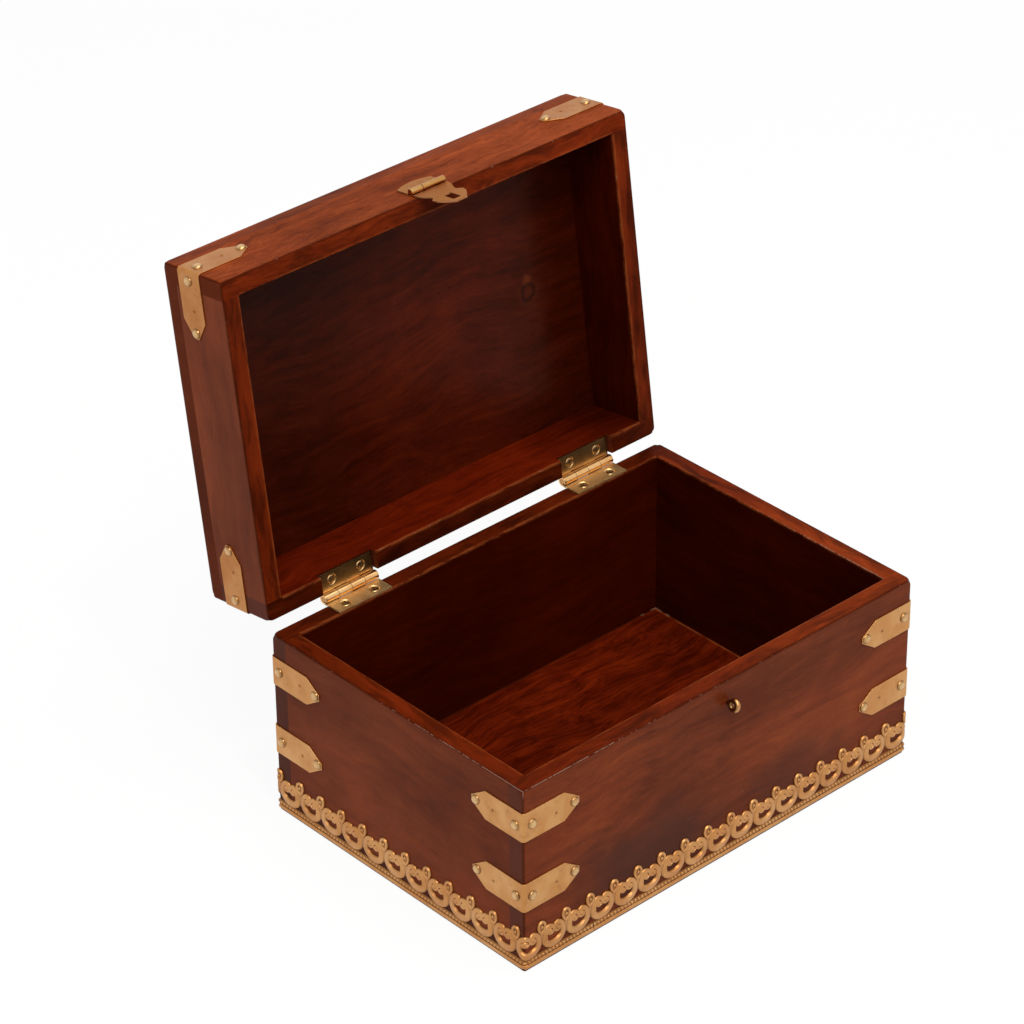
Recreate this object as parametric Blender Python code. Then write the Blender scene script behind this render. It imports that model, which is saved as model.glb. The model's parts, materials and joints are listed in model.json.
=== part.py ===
"""Wooden jewellery box with brass corner straps, a pierced brass base trim, butt hinges and a hasp.

Metres, +Z up. X runs along the length, the front faces -Y and the origin is under the middle of the base.
The lid's pieces are modelled as if it were shut, round an empty on the hinge pins that swings them open,
and the hasp's leaf hangs from a second empty on its own pin.
"""

import math

import bmesh
import bpy
from mathutils import Matrix, Vector

# Fits between pieces
SEAT = 0.0003
RIM_GAP = 0.0003
PIN_FIT = 0.0003
SCREW_FIT = 0.0003
KNUCKLE_GAP = 0.0003

# Box and lid, of one thickness of board
BOX_LENGTH = 0.250
BOX_WIDTH = 0.172
BOX_HEIGHT = 0.100
WALL = 0.0095
BASE_THICKNESS = 0.0105
LID_HEIGHT = 0.0435
LID_PANEL_THICKNESS = 0.0095
CORNER_RADIUS = 0.0012
LID_ARRIS = 0.0012
LID_OPEN_ANGLE = math.radians(97.8)

# Butt hinges, rolled from sheet
HINGE_INSET_LEFT = 0.0503
HINGE_INSET_RIGHT = 0.0463
HINGE_LENGTH = 0.0325
HINGE_KNUCKLES = 4
LEAF_THICKNESS = 0.001
LEAF_EDGE_INSET = 0.0005
LEAF_PROUD = 0.0006
LEAF_SLOT_GAP = 0.0004
HINGE_PIN_RADIUS = 0.0011
HINGE_BEHIND = 0.00045
MORTISE_END_GAP = 0.0008

# Countersunk hinge screws
SCREW_SPACING = 0.0178
SCREW_LENGTH = 0.012
SCREW_HEAD_RADIUS = 0.0024
SCREW_HEAD_DEPTH = 0.0012
SCREW_SHANK_RADIUS = 0.0011
SCREW_TIP_LENGTH = 0.003

# Corner straps and their dome nails
STRAP_WIDTH = 0.0155
STRAP_LEG = 0.0335
STRAP_POINT = 0.009
STRAP_TIP = 0.003
STRAP_THICKNESS = 0.0005
UPPER_STRAP_DROP = 0.0198
LOWER_STRAP_RISE = 0.0175
LID_STRAP_RISE = 0.0232
NAIL_FROM_CORNER = 0.0048
NAIL_FROM_TIP = 0.0028
NAIL_RADIUS = 0.0025
NAIL_HEIGHT = 0.0011
NAIL_SINK = 0.0004

# Pierced base trim
TRIM_RISE = 0.0012
TRIM_HEIGHT = 0.0227
TRIM_PITCH = 0.0151
TRIM_THICKNESS = 0.0009
TRIM_SEAM = 0.0003
TRIM_PHASE = 0.0092
TRIM_SEAM_FINIAL = 2

# Hasp, rolled from sheet
HASP_OFFSET = 0.0025
HASP_RISE = 0.0049
HASP_SHEET = 0.0006
HASP_WIDTH = 0.0208
HASP_PIN_RADIUS = 0.0007
HASP_LEAF_KNUCKLE = 0.0074
HASP_PLATE_REACH = 0.012
HASP_PLATE_SHOULDER = 0.0082
HASP_LEAF_LENGTH = 0.0258
HASP_LOBE_WIDTH = 0.0186
HASP_LOBE_START = 0.0145
HASP_ROOT_LENGTH = 0.0035
HASP_WAIST_WIDTH = 0.0144
HASP_WAIST = 0.0125
HASP_TIP_WIDTH = 0.0064
HASP_SLOT_CENTRE = 0.0177
HASP_SLOT_WIDTH = 0.0046
HASP_SLOT_FIT = 0.0004
BRAD_RADIUS = 0.0006
BRAD_LENGTH = 0.007
BRAD_SPACING = 0.0104
BRAD_RISE = 0.0072

# Eye for the hasp
EYE_RING_RADIUS = 0.00245
EYE_WIRE_RADIUS = 0.00085
EYE_STANDOFF = 0.004
EYE_DEPTH = 0.0075

# Facets of the round shapes
CORNER_STEPS = 3
ROLL_TURN = math.radians(290)
ROLL_STEPS = 10
PIN_SIDES = 12
SCREW_SIDES = 12
NAIL_SIDES = 10
EYE_SIDES = 8
EYE_STEPS = 20
OUTLINE_STEPS = 6
CUT_OVER = 0.002

# Sizes that follow from those above
LID_RIM = BOX_HEIGHT + RIM_GAP
LID_TOP = LID_RIM + LID_HEIGHT
FRONT = -BOX_WIDTH / 2
BACK = BOX_WIDTH / 2
RIGHT = BOX_LENGTH / 2
LEFT = -RIGHT
HINGE_BORE = HINGE_PIN_RADIUS + PIN_FIT
HINGE_ROLL = HINGE_BORE + LEAF_THICKNESS
LEAF_SLOT = HINGE_ROLL + LEAF_SLOT_GAP
PIN_Y = BACK + HINGE_BEHIND + HINGE_ROLL
PIN_Z = BOX_HEIGHT + LEAF_PROUD + HINGE_BORE
LEAF_REACH = PIN_Y - BACK + WALL - LEAF_EDGE_INSET
SCREW_REACH = PIN_Y - BACK + (WALL - LEAF_EDGE_INSET) / 2
HINGES = {"left": LEFT + HINGE_INSET_LEFT, "right": RIGHT - HINGE_INSET_RIGHT}
HASP_BORE = HASP_PIN_RADIUS + PIN_FIT
HASP_ROLL = HASP_BORE + HASP_SHEET
HASP_FOOT = HASP_ROLL + KNUCKLE_GAP
HASP_Y = FRONT - SEAT - HASP_ROLL
HASP_Z = LID_RIM + HASP_RISE
EYE_OUTER = EYE_RING_RADIUS + EYE_WIRE_RADIUS
EYE_Z = HASP_Z - HASP_SLOT_CENTRE
HASP_SLOT_LENGTH = 2 * (EYE_OUTER + HASP_SLOT_FIT)
STRAIGHTS = (BOX_LENGTH - 2 * CORNER_RADIUS, BOX_WIDTH - 2 * CORNER_RADIUS) * 2
CORNER_ARC = CORNER_RADIUS * math.pi / 2
GIRTH = sum(STRAIGHTS) + 4 * CORNER_ARC
TRIM_TOP = TRIM_RISE + TRIM_HEIGHT

# Finishes: colour, roughness and metallic value
VARNISHED_WOOD = ((0.141, 0.034, 0.021), 0.32, 0.0)
END_GRAIN_WOOD = ((0.092, 0.030, 0.022), 0.38, 0.0)
SHEET_BRASS = ((0.600, 0.330, 0.125), 0.30, 1.0)
TURNED_BRASS = ((0.640, 0.400, 0.190), 0.25, 1.0)
SCREW_STEEL = ((0.330, 0.210, 0.110), 0.35, 1.0)


def clear_scene():
    for old in list(bpy.data.objects):
        bpy.data.objects.remove(old, do_unlink=True)


def add_pivot(name, place, parent=None):
    """Empty on a joint's axis."""
    pivot = bpy.data.objects.new(name, None)
    pivot.location = place
    pivot.parent = parent
    bpy.context.collection.objects.link(pivot)
    return pivot


def add_finish(mesh, name, finish):
    colour, roughness, metallic = finish
    material = bpy.data.materials.new(name)
    material.use_nodes = True
    shader = material.node_tree.nodes["Principled BSDF"]
    shader.inputs["Base Color"].default_value = (*colour, 1.0)
    shader.inputs["Roughness"].default_value = roughness
    shader.inputs["Metallic"].default_value = metallic
    mesh.materials.append(material)


def add_mesh(name, bm, pivot=None, centre=Vector()):
    """Turns a mesh modelled in the shut box's frame into an object, which hangs from its pivot."""
    bmesh.ops.translate(bm, vec=-centre, verts=bm.verts)
    bmesh.ops.recalc_face_normals(bm, faces=bm.faces)
    mesh = bpy.data.meshes.new(name)
    bm.to_mesh(mesh)
    bm.free()
    piece = bpy.data.objects.new(name, mesh)
    piece.parent = pivot
    bpy.context.collection.objects.link(piece)
    return piece


def add_piece(name, bm, finish, pivot=None, centre=Vector(), smooth=False):
    piece = add_mesh(name, bm, pivot, centre)
    add_finish(piece.data, name, finish)
    if smooth:
        piece.data.shade_smooth()
        piece.data.set_sharp_from_angle(angle=math.radians(35))
    return piece


def combine(piece, bm, operation, centre=Vector()):
    """Cuts a tool out of a piece, or joins it on, with a live Boolean."""
    step = len(piece.modifiers) + 1
    tool = add_mesh(f"{piece.name}_tool_{step}", bm, piece.parent, centre)
    tool.hide_render = True
    tool.display_type = "WIRE"
    boolean = piece.modifiers.new(f"{operation.lower()}_{step}", "BOOLEAN")
    boolean.object = tool
    boolean.operation = operation
    boolean.solver = "EXACT"


def add_block(bm, low, high):
    low, high = Vector(low), Vector(high)
    place = Matrix.Translation((low + high) / 2) @ Matrix.Diagonal((*(high - low), 1.0))
    bmesh.ops.create_cube(bm, size=1.0, matrix=place)


def block(low, high):
    bm = bmesh.new()
    add_block(bm, low, high)
    return bm


def round_edges(bm, chosen, radius):
    """Rounds the edges whose two ends both pass the test."""
    edges = [edge for edge in bm.edges if all(chosen(v.co) for v in edge.verts)]
    bmesh.ops.bevel(bm, geom=edges, offset=radius, segments=CORNER_STEPS, profile=0.5, affect="EDGES")


def round_upright_corners(bm, faces_y):
    """Rounds the upright edges at the ends of the given front or back faces."""
    for y in faces_y:
        for x in (LEFT, RIGHT):
            round_edges(bm, lambda p: abs(p.x - x) < SEAT and abs(p.y - y) < SEAT, CORNER_RADIUS)


def add_turned(bm, profile, sides, place):
    """Turns a profile of (radius, height) points, which starts and ends on the axis, about local Z."""
    ends = [bm.verts.new(place @ Vector((0, 0, z))) for _, z in (profile[0], profile[-1])]
    rings = []
    for radius, z in profile[1:-1]:
        angles = [2 * math.pi * step / sides for step in range(sides)]
        points = [Vector((radius * math.cos(a), radius * math.sin(a), z)) for a in angles]
        rings.append([bm.verts.new(place @ point) for point in points])
    for i in range(sides):
        j = (i + 1) % sides
        bm.faces.new((ends[0], rings[0][i], rings[0][j]))
        for lower, upper in zip(rings, rings[1:]):
            bm.faces.new((lower[i], upper[i], upper[j], lower[j]))
        bm.faces.new((ends[1], rings[-1][j], rings[-1][i]))


def add_rod(bm, radius, start, end, sides):
    """Round bar between two points."""
    way = Vector(end) - Vector(start)
    place = Matrix.Translation(start) @ way.to_track_quat("Z", "Y").to_matrix().to_4x4()
    add_turned(bm, [(0, 0), (radius, 0), (radius, way.length), (0, way.length)], sides, place)


def blank(loops):
    """Flat sheet in the XZ plane, filled between its outline and the outlines of its holes."""
    bm = bmesh.new()
    for loop in loops:
        corners = [bm.verts.new((x, 0, z)) for x, z in loop]
        for a, b in zip(corners, corners[1:] + corners[:1]):
            bm.edges.new((a, b))
    bmesh.ops.triangle_fill(bm, use_beauty=True, use_dissolve=False, edges=bm.edges)
    return bm


def thicken(bm, thickness, axis, cuts):
    """Cuts a flat sheet across at each place along an axis, then gives it a front face at +Y."""
    normal = Vector([float(i == axis) for i in range(3)])
    for cut in cuts:
        everything = [*bm.verts, *bm.edges, *bm.faces]
        bmesh.ops.bisect_plane(bm, geom=everything, dist=1e-7, plane_co=normal * cut, plane_no=normal)
    front = bmesh.ops.extrude_face_region(bm, geom=bm.faces)["geom"]
    raised = [v for v in front if isinstance(v, bmesh.types.BMVert)]
    bmesh.ops.translate(bm, vec=(0, thickness, 0), verts=raised)


def girth_frame(s):
    """Place on the box's outer face and its outward normal, s round from the front-left corner."""
    s %= GIRTH
    heading = 0.0
    start = Vector((LEFT + CORNER_RADIUS, FRONT, 0))
    for straight in STRAIGHTS:
        along = Vector((math.cos(heading), math.sin(heading), 0))
        out = Vector((along.y, -along.x, 0))
        if s <= straight:
            return start + along * s, out
        s -= straight
        centre = start + along * straight - out * CORNER_RADIUS
        turn = heading + min(s / CORNER_RADIUS, math.pi / 2)
        normal = Vector((math.sin(turn), -math.cos(turn), 0))
        start = centre + normal * CORNER_RADIUS
        if s <= CORNER_ARC:
            return start, normal
        s -= CORNER_ARC
        heading += math.pi / 2
    return start, Vector((0, -1, 0))


def corner_middles():
    """Distance round the box to the middle of each corner, from the front right to the front left."""
    s = -CORNER_ARC / 2
    for straight in STRAIGHTS:
        s += straight + CORNER_ARC
        yield s


def wrap_round_box(bm, thickness):
    """Bends a flat sheet round the box: its X is the way round, and its Z is the height."""
    steps = [CORNER_ARC * (i / CORNER_STEPS - 0.5) for i in range(CORNER_STEPS + 1)]
    cuts = [s + step + turn for s in corner_middles() for step in steps for turn in (-GIRTH, 0.0, GIRTH)]
    low = min(v.co.x for v in bm.verts)
    high = max(v.co.x for v in bm.verts)
    thicken(bm, thickness, 0, [cut for cut in cuts if low < cut < high])
    for v in bm.verts:
        point, out = girth_frame(v.co.x)
        v.co = point + out * (SEAT + v.co.y) + Vector((0, 0, v.co.z))


def roll_up(bm, thickness, outer, place):
    """Rolls the tabs below Z = 0 of a flat sheet round a pin that stands over its front face at Z = 0.

    place takes the distance along the pin, along the leaf and over the leaf, from the pin's axis.
    """
    middle = outer - thickness / 2
    length = ROLL_TURN * middle
    thicken(bm, thickness, 2, [-length * i / ROLL_STEPS for i in range(ROLL_STEPS)])
    for v in bm.verts:
        x, depth, z = v.co
        turn = max(-z / middle, 0.0)
        radius = outer - depth
        v.co = place(x, max(z, 0.0) - radius * math.sin(turn), -radius * math.cos(turn))


def make_box_boards():
    """Base under the walls, with the front and back walls running the full length."""
    side = BOX_WIDTH / 2 - WALL - SEAT
    floor = BASE_THICKNESS + SEAT
    base = block((LEFT, FRONT, 0), (RIGHT, BACK, BASE_THICKNESS))
    round_upright_corners(base, (FRONT, BACK))
    add_piece("base_panel", base, VARNISHED_WOOD)
    front = block((LEFT, FRONT, floor), (RIGHT, FRONT + WALL, BOX_HEIGHT))
    round_upright_corners(front, (FRONT,))
    back = block((LEFT, BACK - WALL, floor), (RIGHT, BACK, BOX_HEIGHT))
    round_upright_corners(back, (BACK,))
    front_board = add_piece("front_board", front, VARNISHED_WOOD)
    back_board = add_piece("back_board", back, VARNISHED_WOOD)
    add_piece("left_board", block((LEFT, -side, floor), (LEFT + WALL, side, BOX_HEIGHT)), VARNISHED_WOOD)
    add_piece("right_board", block((RIGHT - WALL, -side, floor), (RIGHT, side, BOX_HEIGHT)), VARNISHED_WOOD)
    eye_hole = bmesh.new()
    mouth = (HASP_OFFSET, FRONT - CUT_OVER, EYE_Z)
    bottom = (HASP_OFFSET, FRONT + EYE_DEPTH + SEAT, EYE_Z)
    add_rod(eye_hole, EYE_WIRE_RADIUS + SCREW_FIT, mouth, bottom, EYE_SIDES)
    combine(front_board, eye_hole, "DIFFERENCE")
    cut_mortises(back_board, BOX_HEIGHT, -1, Vector())


def make_lid_boards(pivot, pin):
    """Top panel over a frame of rails, with the front and back rails running the full length."""
    side = BOX_WIDTH / 2 - WALL - SEAT
    ceiling = LID_TOP - LID_PANEL_THICKNESS
    under = ceiling - SEAT
    panel = block((LEFT, FRONT, ceiling), (RIGHT, BACK, LID_TOP))
    round_upright_corners(panel, (FRONT, BACK))
    round_edges(panel, lambda p: LID_TOP - p.z < SEAT, LID_ARRIS)
    add_piece("lid_top_panel", panel, VARNISHED_WOOD, pivot, pin)
    front = block((LEFT, FRONT, LID_RIM), (RIGHT, FRONT + WALL, under))
    round_upright_corners(front, (FRONT,))
    back = block((LEFT, BACK - WALL, LID_RIM), (RIGHT, BACK, under))
    round_upright_corners(back, (BACK,))
    front_rail = add_piece("lid_front_rail", front, VARNISHED_WOOD, pivot, pin)
    back_rail = add_piece("lid_back_rail", back, VARNISHED_WOOD, pivot, pin)
    left = block((LEFT, -side, LID_RIM), (LEFT + WALL, side, under))
    right = block((RIGHT - WALL, -side, LID_RIM), (RIGHT, side, under))
    add_piece("lid_left_rail", left, VARNISHED_WOOD, pivot, pin)
    add_piece("lid_right_rail", right, VARNISHED_WOOD, pivot, pin)
    combine(front_rail, brad_rods(SCREW_FIT, FRONT - CUT_OVER, SEAT), "DIFFERENCE", pin)
    cut_mortises(back_rail, LID_RIM, 1, pin)


def cut_mortises(board, rim, into, pin):
    """Lets the hinge leaves and their screws into a board; into is +1 up from the rim, or -1 down."""
    floor = PIN_Z + into * (HINGE_ROLL + SEAT)
    reach = (rim - into * CUT_OVER, floor)
    half = HINGE_LENGTH / 2 + MORTISE_END_GAP
    mortises = bmesh.new()
    holes = bmesh.new()
    for middle in HINGES.values():
        low = (middle - half, BACK - WALL - CUT_OVER, min(reach))
        add_block(mortises, low, (middle + half, BACK + CUT_OVER, max(reach)))
        for x in screw_places(middle):
            y = PIN_Y - SCREW_REACH
            head = PIN_Z + into * HINGE_BORE
            end = head + into * (SCREW_LENGTH + SEAT)
            radius = SCREW_SHANK_RADIUS + SCREW_FIT
            add_rod(holes, radius, (x, y, floor - into * CUT_OVER / 2), (x, y, end), SCREW_SIDES)
    combine(board, mortises, "DIFFERENCE", pin)
    combine(board, holes, "DIFFERENCE", pin)


def screw_places(middle):
    return middle - SCREW_SPACING / 2, middle + SCREW_SPACING / 2


def brad_places():
    return HASP_OFFSET - BRAD_SPACING / 2, HASP_OFFSET + BRAD_SPACING / 2


def brad_rods(fit, front, over):
    """Holes for the brads of the hasp's plate, from a place before the plate to past their points."""
    rods = bmesh.new()
    z = HASP_Z + BRAD_RISE
    back = FRONT - SEAT - HASP_SHEET + BRAD_LENGTH + over
    for x in brad_places():
        add_rod(rods, BRAD_RADIUS + fit, (x, front, z), (x, back, z), EYE_SIDES)
    return rods


def screw_profile(fit):
    """Countersunk wood screw from the middle of its head down to its point, grown by a fit."""
    tip = SCREW_LENGTH - SCREW_TIP_LENGTH
    return [
        (0, 0),
        (SCREW_HEAD_RADIUS + fit, 0),
        (SCREW_SHANK_RADIUS + fit, -SCREW_HEAD_DEPTH),
        (SCREW_SHANK_RADIUS + fit, -tip),
        (0, -SCREW_LENGTH),
    ]


def countersink_profile():
    """Hole for a screw through a leaf, open past both of its faces."""
    top, waist = screw_profile(SCREW_FIT)[1:3]
    through = LEAF_THICKNESS + CUT_OVER
    return [(0, CUT_OVER), (top[0], CUT_OVER), top, waist, (waist[0], -through), (0, -through)]


def make_hinge_leaf(name, middle, first_knuckle, into, pivot, pin):
    """Leaf rolled from a tabbed blank; into is +1 for the lid's leaf, or -1 for the box's."""
    pitch = HINGE_LENGTH / HINGE_KNUCKLES
    half = HINGE_LENGTH / 2
    tabs = []
    outline = [(half, LEAF_REACH), (-half, LEAF_REACH)]
    tab_length = ROLL_TURN * (HINGE_ROLL - LEAF_THICKNESS / 2)
    for knuckle in range(HINGE_KNUCKLES):
        left = -half + knuckle * pitch + (KNUCKLE_GAP / 2 if knuckle else 0.0)
        right = -half + (knuckle + 1) * pitch - (KNUCKLE_GAP / 2 if knuckle < HINGE_KNUCKLES - 1 else 0.0)
        if knuckle % 2 == first_knuckle:
            tabs += [(left, 0.0), (left, -tab_length), (right, -tab_length), (right, 0.0)]
        else:
            outer_left = left if knuckle == 0 else left - KNUCKLE_GAP
            outer_right = right if knuckle == HINGE_KNUCKLES - 1 else right + KNUCKLE_GAP
            tabs += [(outer_left, LEAF_SLOT), (outer_right, LEAF_SLOT)]
    bm = blank([outline + tabs])

    def place(x, along, over):
        return Vector((middle + x, PIN_Y - along, PIN_Z - into * over))

    roll_up(bm, LEAF_THICKNESS, HINGE_ROLL, place)
    leaf = add_piece(name, bm, SHEET_BRASS, pivot, pin, smooth=True)
    holes = bmesh.new()
    for x in screw_places(middle):
        add_turned(holes, countersink_profile(), SCREW_SIDES, screw_seat(x, into))
    combine(leaf, holes, "DIFFERENCE", pin)


def screw_seat(x, into):
    """Frame of a hinge screw: its head on the leaf's face, its point into the wood."""
    place = Matrix.Translation((x, PIN_Y - SCREW_REACH, PIN_Z + into * HINGE_BORE))
    return place @ Matrix.Rotation(math.pi if into > 0 else 0.0, 4, "X")


def make_hinges(lid_pivot, pin):
    for side, middle in HINGES.items():
        make_hinge_leaf(f"{side}_hinge_box_leaf", middle, 0, -1, None, Vector())
        make_hinge_leaf(f"{side}_hinge_lid_leaf", middle, 1, 1, lid_pivot, pin)
        rod = bmesh.new()
        ends = [(middle + share * HINGE_LENGTH, PIN_Y, PIN_Z) for share in (-0.5, 0.5)]
        add_rod(rod, HINGE_PIN_RADIUS, *ends, PIN_SIDES)
        add_piece(f"{side}_hinge_pin", rod, TURNED_BRASS, smooth=True)
        for owner, into, pivot, centre in (("box", -1, None, Vector()), ("lid", 1, lid_pivot, pin)):
            for number, x in enumerate(screw_places(middle), 1):
                screw = bmesh.new()
                add_turned(screw, screw_profile(0.0), SCREW_SIDES, screw_seat(x, into))
                name = f"{side}_hinge_{owner}_screw_{number}"
                add_piece(name, screw, SCREW_STEEL, pivot, centre, smooth=True)


def nail_profile():
    """Dome nail's head from the middle of its underside, which is sunk in the strap, to its crown."""
    quarter = [math.pi / 2 * step / 2 for step in range(3)]
    dome = [(NAIL_RADIUS * math.cos(a), NAIL_SINK + NAIL_HEIGHT * math.sin(a)) for a in quarter[:-1]]
    return [(0, 0), (NAIL_RADIUS, 0), *dome, (0, NAIL_SINK + NAIL_HEIGHT)]


def make_strap(name, middle, height, pivot, centre):
    """Strap with pointed ends bent round a corner, with its four dome nails on it."""
    leg = STRAP_LEG - CORNER_RADIUS + CORNER_ARC / 2
    shoulder = leg - STRAP_POINT
    quarter = [(leg, STRAP_TIP / 2), (shoulder, STRAP_WIDTH / 2)]
    half = quarter + [(-s, z) for s, z in reversed(quarter)]
    outline = half + [(-s, -z) for s, z in half]
    bm = blank([[(middle + s, height + z) for s, z in outline]])
    wrap_round_box(bm, STRAP_THICKNESS)
    strap = add_piece(name, bm, SHEET_BRASS, pivot, centre, smooth=True)
    nails = bmesh.new()
    near = NAIL_FROM_CORNER - CORNER_RADIUS + CORNER_ARC / 2
    for s in (-leg + NAIL_FROM_TIP, -near, near, leg - NAIL_FROM_TIP):
        point, out = girth_frame(middle + s)
        seat = point + out * (SEAT + STRAP_THICKNESS - NAIL_SINK) + Vector((0, 0, height))
        place = Matrix.Translation(seat) @ out.to_track_quat("Z", "Y").to_matrix().to_4x4()
        add_turned(nails, nail_profile(), NAIL_SIDES, place)
    combine(strap, nails, "UNION", centre)


def make_straps(lid_pivot, pin):
    """Two straps on each corner of the box and one on each corner of the lid."""
    corners = ("front_right", "back_right", "back_left", "front_left")
    upper = BOX_HEIGHT - UPPER_STRAP_DROP
    lower = TRIM_TOP + LOWER_STRAP_RISE
    lid = LID_RIM + LID_STRAP_RISE
    for corner, middle in zip(corners, corner_middles()):
        make_strap(f"upper_strap_{corner}", middle, upper, None, Vector())
        make_strap(f"lower_strap_{corner}", middle, lower, None, Vector())
        make_strap(f"lid_strap_{corner}", middle, lid, lid_pivot, pin)


def trim_motif(pitch):
    """Half of one repeat, from a finial's middle to a ring's: a finial, a scroll and a ring's opening.

    The points are shares of the pitch and of the trim's height, from the finial towards the ring.
    """
    finial = [(0.0, 1.0), (0.09, 0.965), (0.14, 0.87), (0.12, 0.79), (0.075, 0.735)]
    scroll = [(0.17, 0.735), (0.25, 0.79), (0.35, 0.81), (0.44, 0.78), (0.5, 0.70)]
    opening = [(0.5, 0.35), (0.36, 0.38), (0.255, 0.49), (0.31, 0.59), (0.38, 0.575), (0.5, 0.62)]
    return [[(pitch * s, TRIM_HEIGHT * z) for s, z in part] for part in (finial, scroll, opening)]


def make_trim():
    """Pierced strip bent once round the box, with its two ends meeting beside a finial on the front."""
    repeats = round(GIRTH / TRIM_PITCH)
    pitch = GIRTH / repeats
    finial, scroll, opening = trim_motif(pitch)
    foot, shoulder = finial[-1], scroll[0]
    first = TRIM_PHASE + TRIM_SEAM_FINIAL * pitch
    start = first + (foot[0] + shoulder[0]) / 2
    end = start + GIRTH - TRIM_SEAM
    top = [(start, foot[1])]
    bottom = [(start, 0.0)]
    holes = []
    for repeat in range(repeats):
        s = first + repeat * pitch
        after = s + pitch
        top += [(s + ds, z) for ds, z in scroll]
        top += [(after - ds, z) for ds, z in reversed(finial + scroll[:-1])]
        top += [(after + ds, z) for ds, z in finial[1:]]
        bottom.append((s + pitch / 2, 0.0))
        right = [(after - ds, z) for ds, z in reversed(opening[1:-1])]
        holes.append([(s + ds, z) for ds, z in opening] + right)
    top.append((end, foot[1]))
    bottom.append((end, 0.0))
    outline = bottom + top[::-1]
    bm = blank([[(s, TRIM_RISE + z) for s, z in loop] for loop in (outline, *holes)])
    wrap_round_box(bm, TRIM_THICKNESS)
    add_piece("base_trim", bm, SHEET_BRASS)


def hasp_plate_outline():
    """Plate with a low arched top, and a rolled tab on the right of its foot."""
    half = HASP_WIDTH / 2
    split = -half + HASP_LEAF_KNUCKLE
    tab = -ROLL_TURN * (HASP_ROLL - HASP_SHEET / 2)
    arch = HASP_PLATE_REACH - HASP_PLATE_SHOULDER
    angles = [math.pi * step / (2 * OUTLINE_STEPS) for step in range(2 * OUTLINE_STEPS + 1)]
    top = [(half * math.cos(a), HASP_PLATE_SHOULDER + arch * math.sin(a)) for a in angles]
    left_foot = split + KNUCKLE_GAP / 2
    return [(half, tab), *top, (-half, HASP_FOOT), (left_foot, HASP_FOOT), (left_foot, tab)]


def hasp_leaf_side():
    """Right-hand side of the leaf from its root to its tip: an ogee to a waist, then a round lobe."""
    half = HASP_WIDTH / 2
    waist = HASP_WAIST_WIDTH / 2
    lobe = HASP_LOBE_WIDTH / 2
    tip = HASP_TIP_WIDTH / 2
    side = []
    for step in range(OUTLINE_STEPS + 1):
        t = step / OUTLINE_STEPS
        ease = t * t * (3 - 2 * t)
        z = HASP_ROOT_LENGTH + t * (HASP_WAIST - HASP_ROOT_LENGTH)
        side.append((half + ease * (waist - half), z))
    for step in range(OUTLINE_STEPS + 1):
        a = math.pi / 2 * step / OUTLINE_STEPS
        z = HASP_LOBE_START + math.sin(a) * (HASP_LEAF_LENGTH - HASP_LOBE_START)
        side.append((tip + math.cos(a) * (lobe - tip), z))
    return side


def hasp_leaf_outline():
    """Leaf with a rolled tab on the left of its root."""
    half = HASP_WIDTH / 2
    tab = -ROLL_TURN * (HASP_ROLL - HASP_SHEET / 2)
    right_foot = -half + HASP_LEAF_KNUCKLE - KNUCKLE_GAP / 2
    side = hasp_leaf_side()
    mirrored = [(-x, z) for x, z in reversed(side)]
    return [(half, HASP_FOOT), *side, *mirrored, (-half, tab), (right_foot, tab), (right_foot, HASP_FOOT)]


def make_hasp(lid_pivot, pin, hasp_pivot, hasp_pin):
    """Plate on the lid's front, and a slotted leaf that swings on a pin between their rolled edges."""
    plate = blank([hasp_plate_outline()])
    roll_up(plate, HASP_SHEET, HASP_ROLL, lambda x, along, over: hasp_pin + Vector((x, -over, along)))
    plate_piece = add_piece("hasp_plate", plate, SHEET_BRASS, lid_pivot, pin, smooth=True)
    combine(plate_piece, brad_rods(SCREW_FIT, FRONT - CUT_OVER, SEAT), "DIFFERENCE", pin)
    half_slot = HASP_SLOT_WIDTH / 2
    low = HASP_SLOT_CENTRE - HASP_SLOT_LENGTH / 2
    high = HASP_SLOT_CENTRE + HASP_SLOT_LENGTH / 2
    slot = [(-half_slot, low), (half_slot, low), (half_slot, high), (-half_slot, high)]
    leaf = blank([hasp_leaf_outline(), slot])
    roll_up(leaf, HASP_SHEET, HASP_ROLL, lambda x, along, over: hasp_pin + Vector((x, -over, -along)))
    add_piece("hasp_leaf", leaf, SHEET_BRASS, hasp_pivot, hasp_pin, smooth=True)
    rod = bmesh.new()
    end = Vector((HASP_WIDTH / 2, 0, 0))
    add_rod(rod, HASP_PIN_RADIUS, hasp_pin - end, hasp_pin + end, PIN_SIDES)
    add_piece("hasp_pin", rod, TURNED_BRASS, lid_pivot, pin, smooth=True)
    z = HASP_Z + BRAD_RISE
    face = FRONT - SEAT - HASP_SHEET
    for number, x in enumerate(brad_places(), 1):
        brad = bmesh.new()
        add_rod(brad, BRAD_RADIUS, (x, face, z), (x, face + BRAD_LENGTH, z), EYE_SIDES)
        add_piece(f"hasp_plate_brad_{number}", brad, TURNED_BRASS, lid_pivot, pin, smooth=True)


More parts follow.
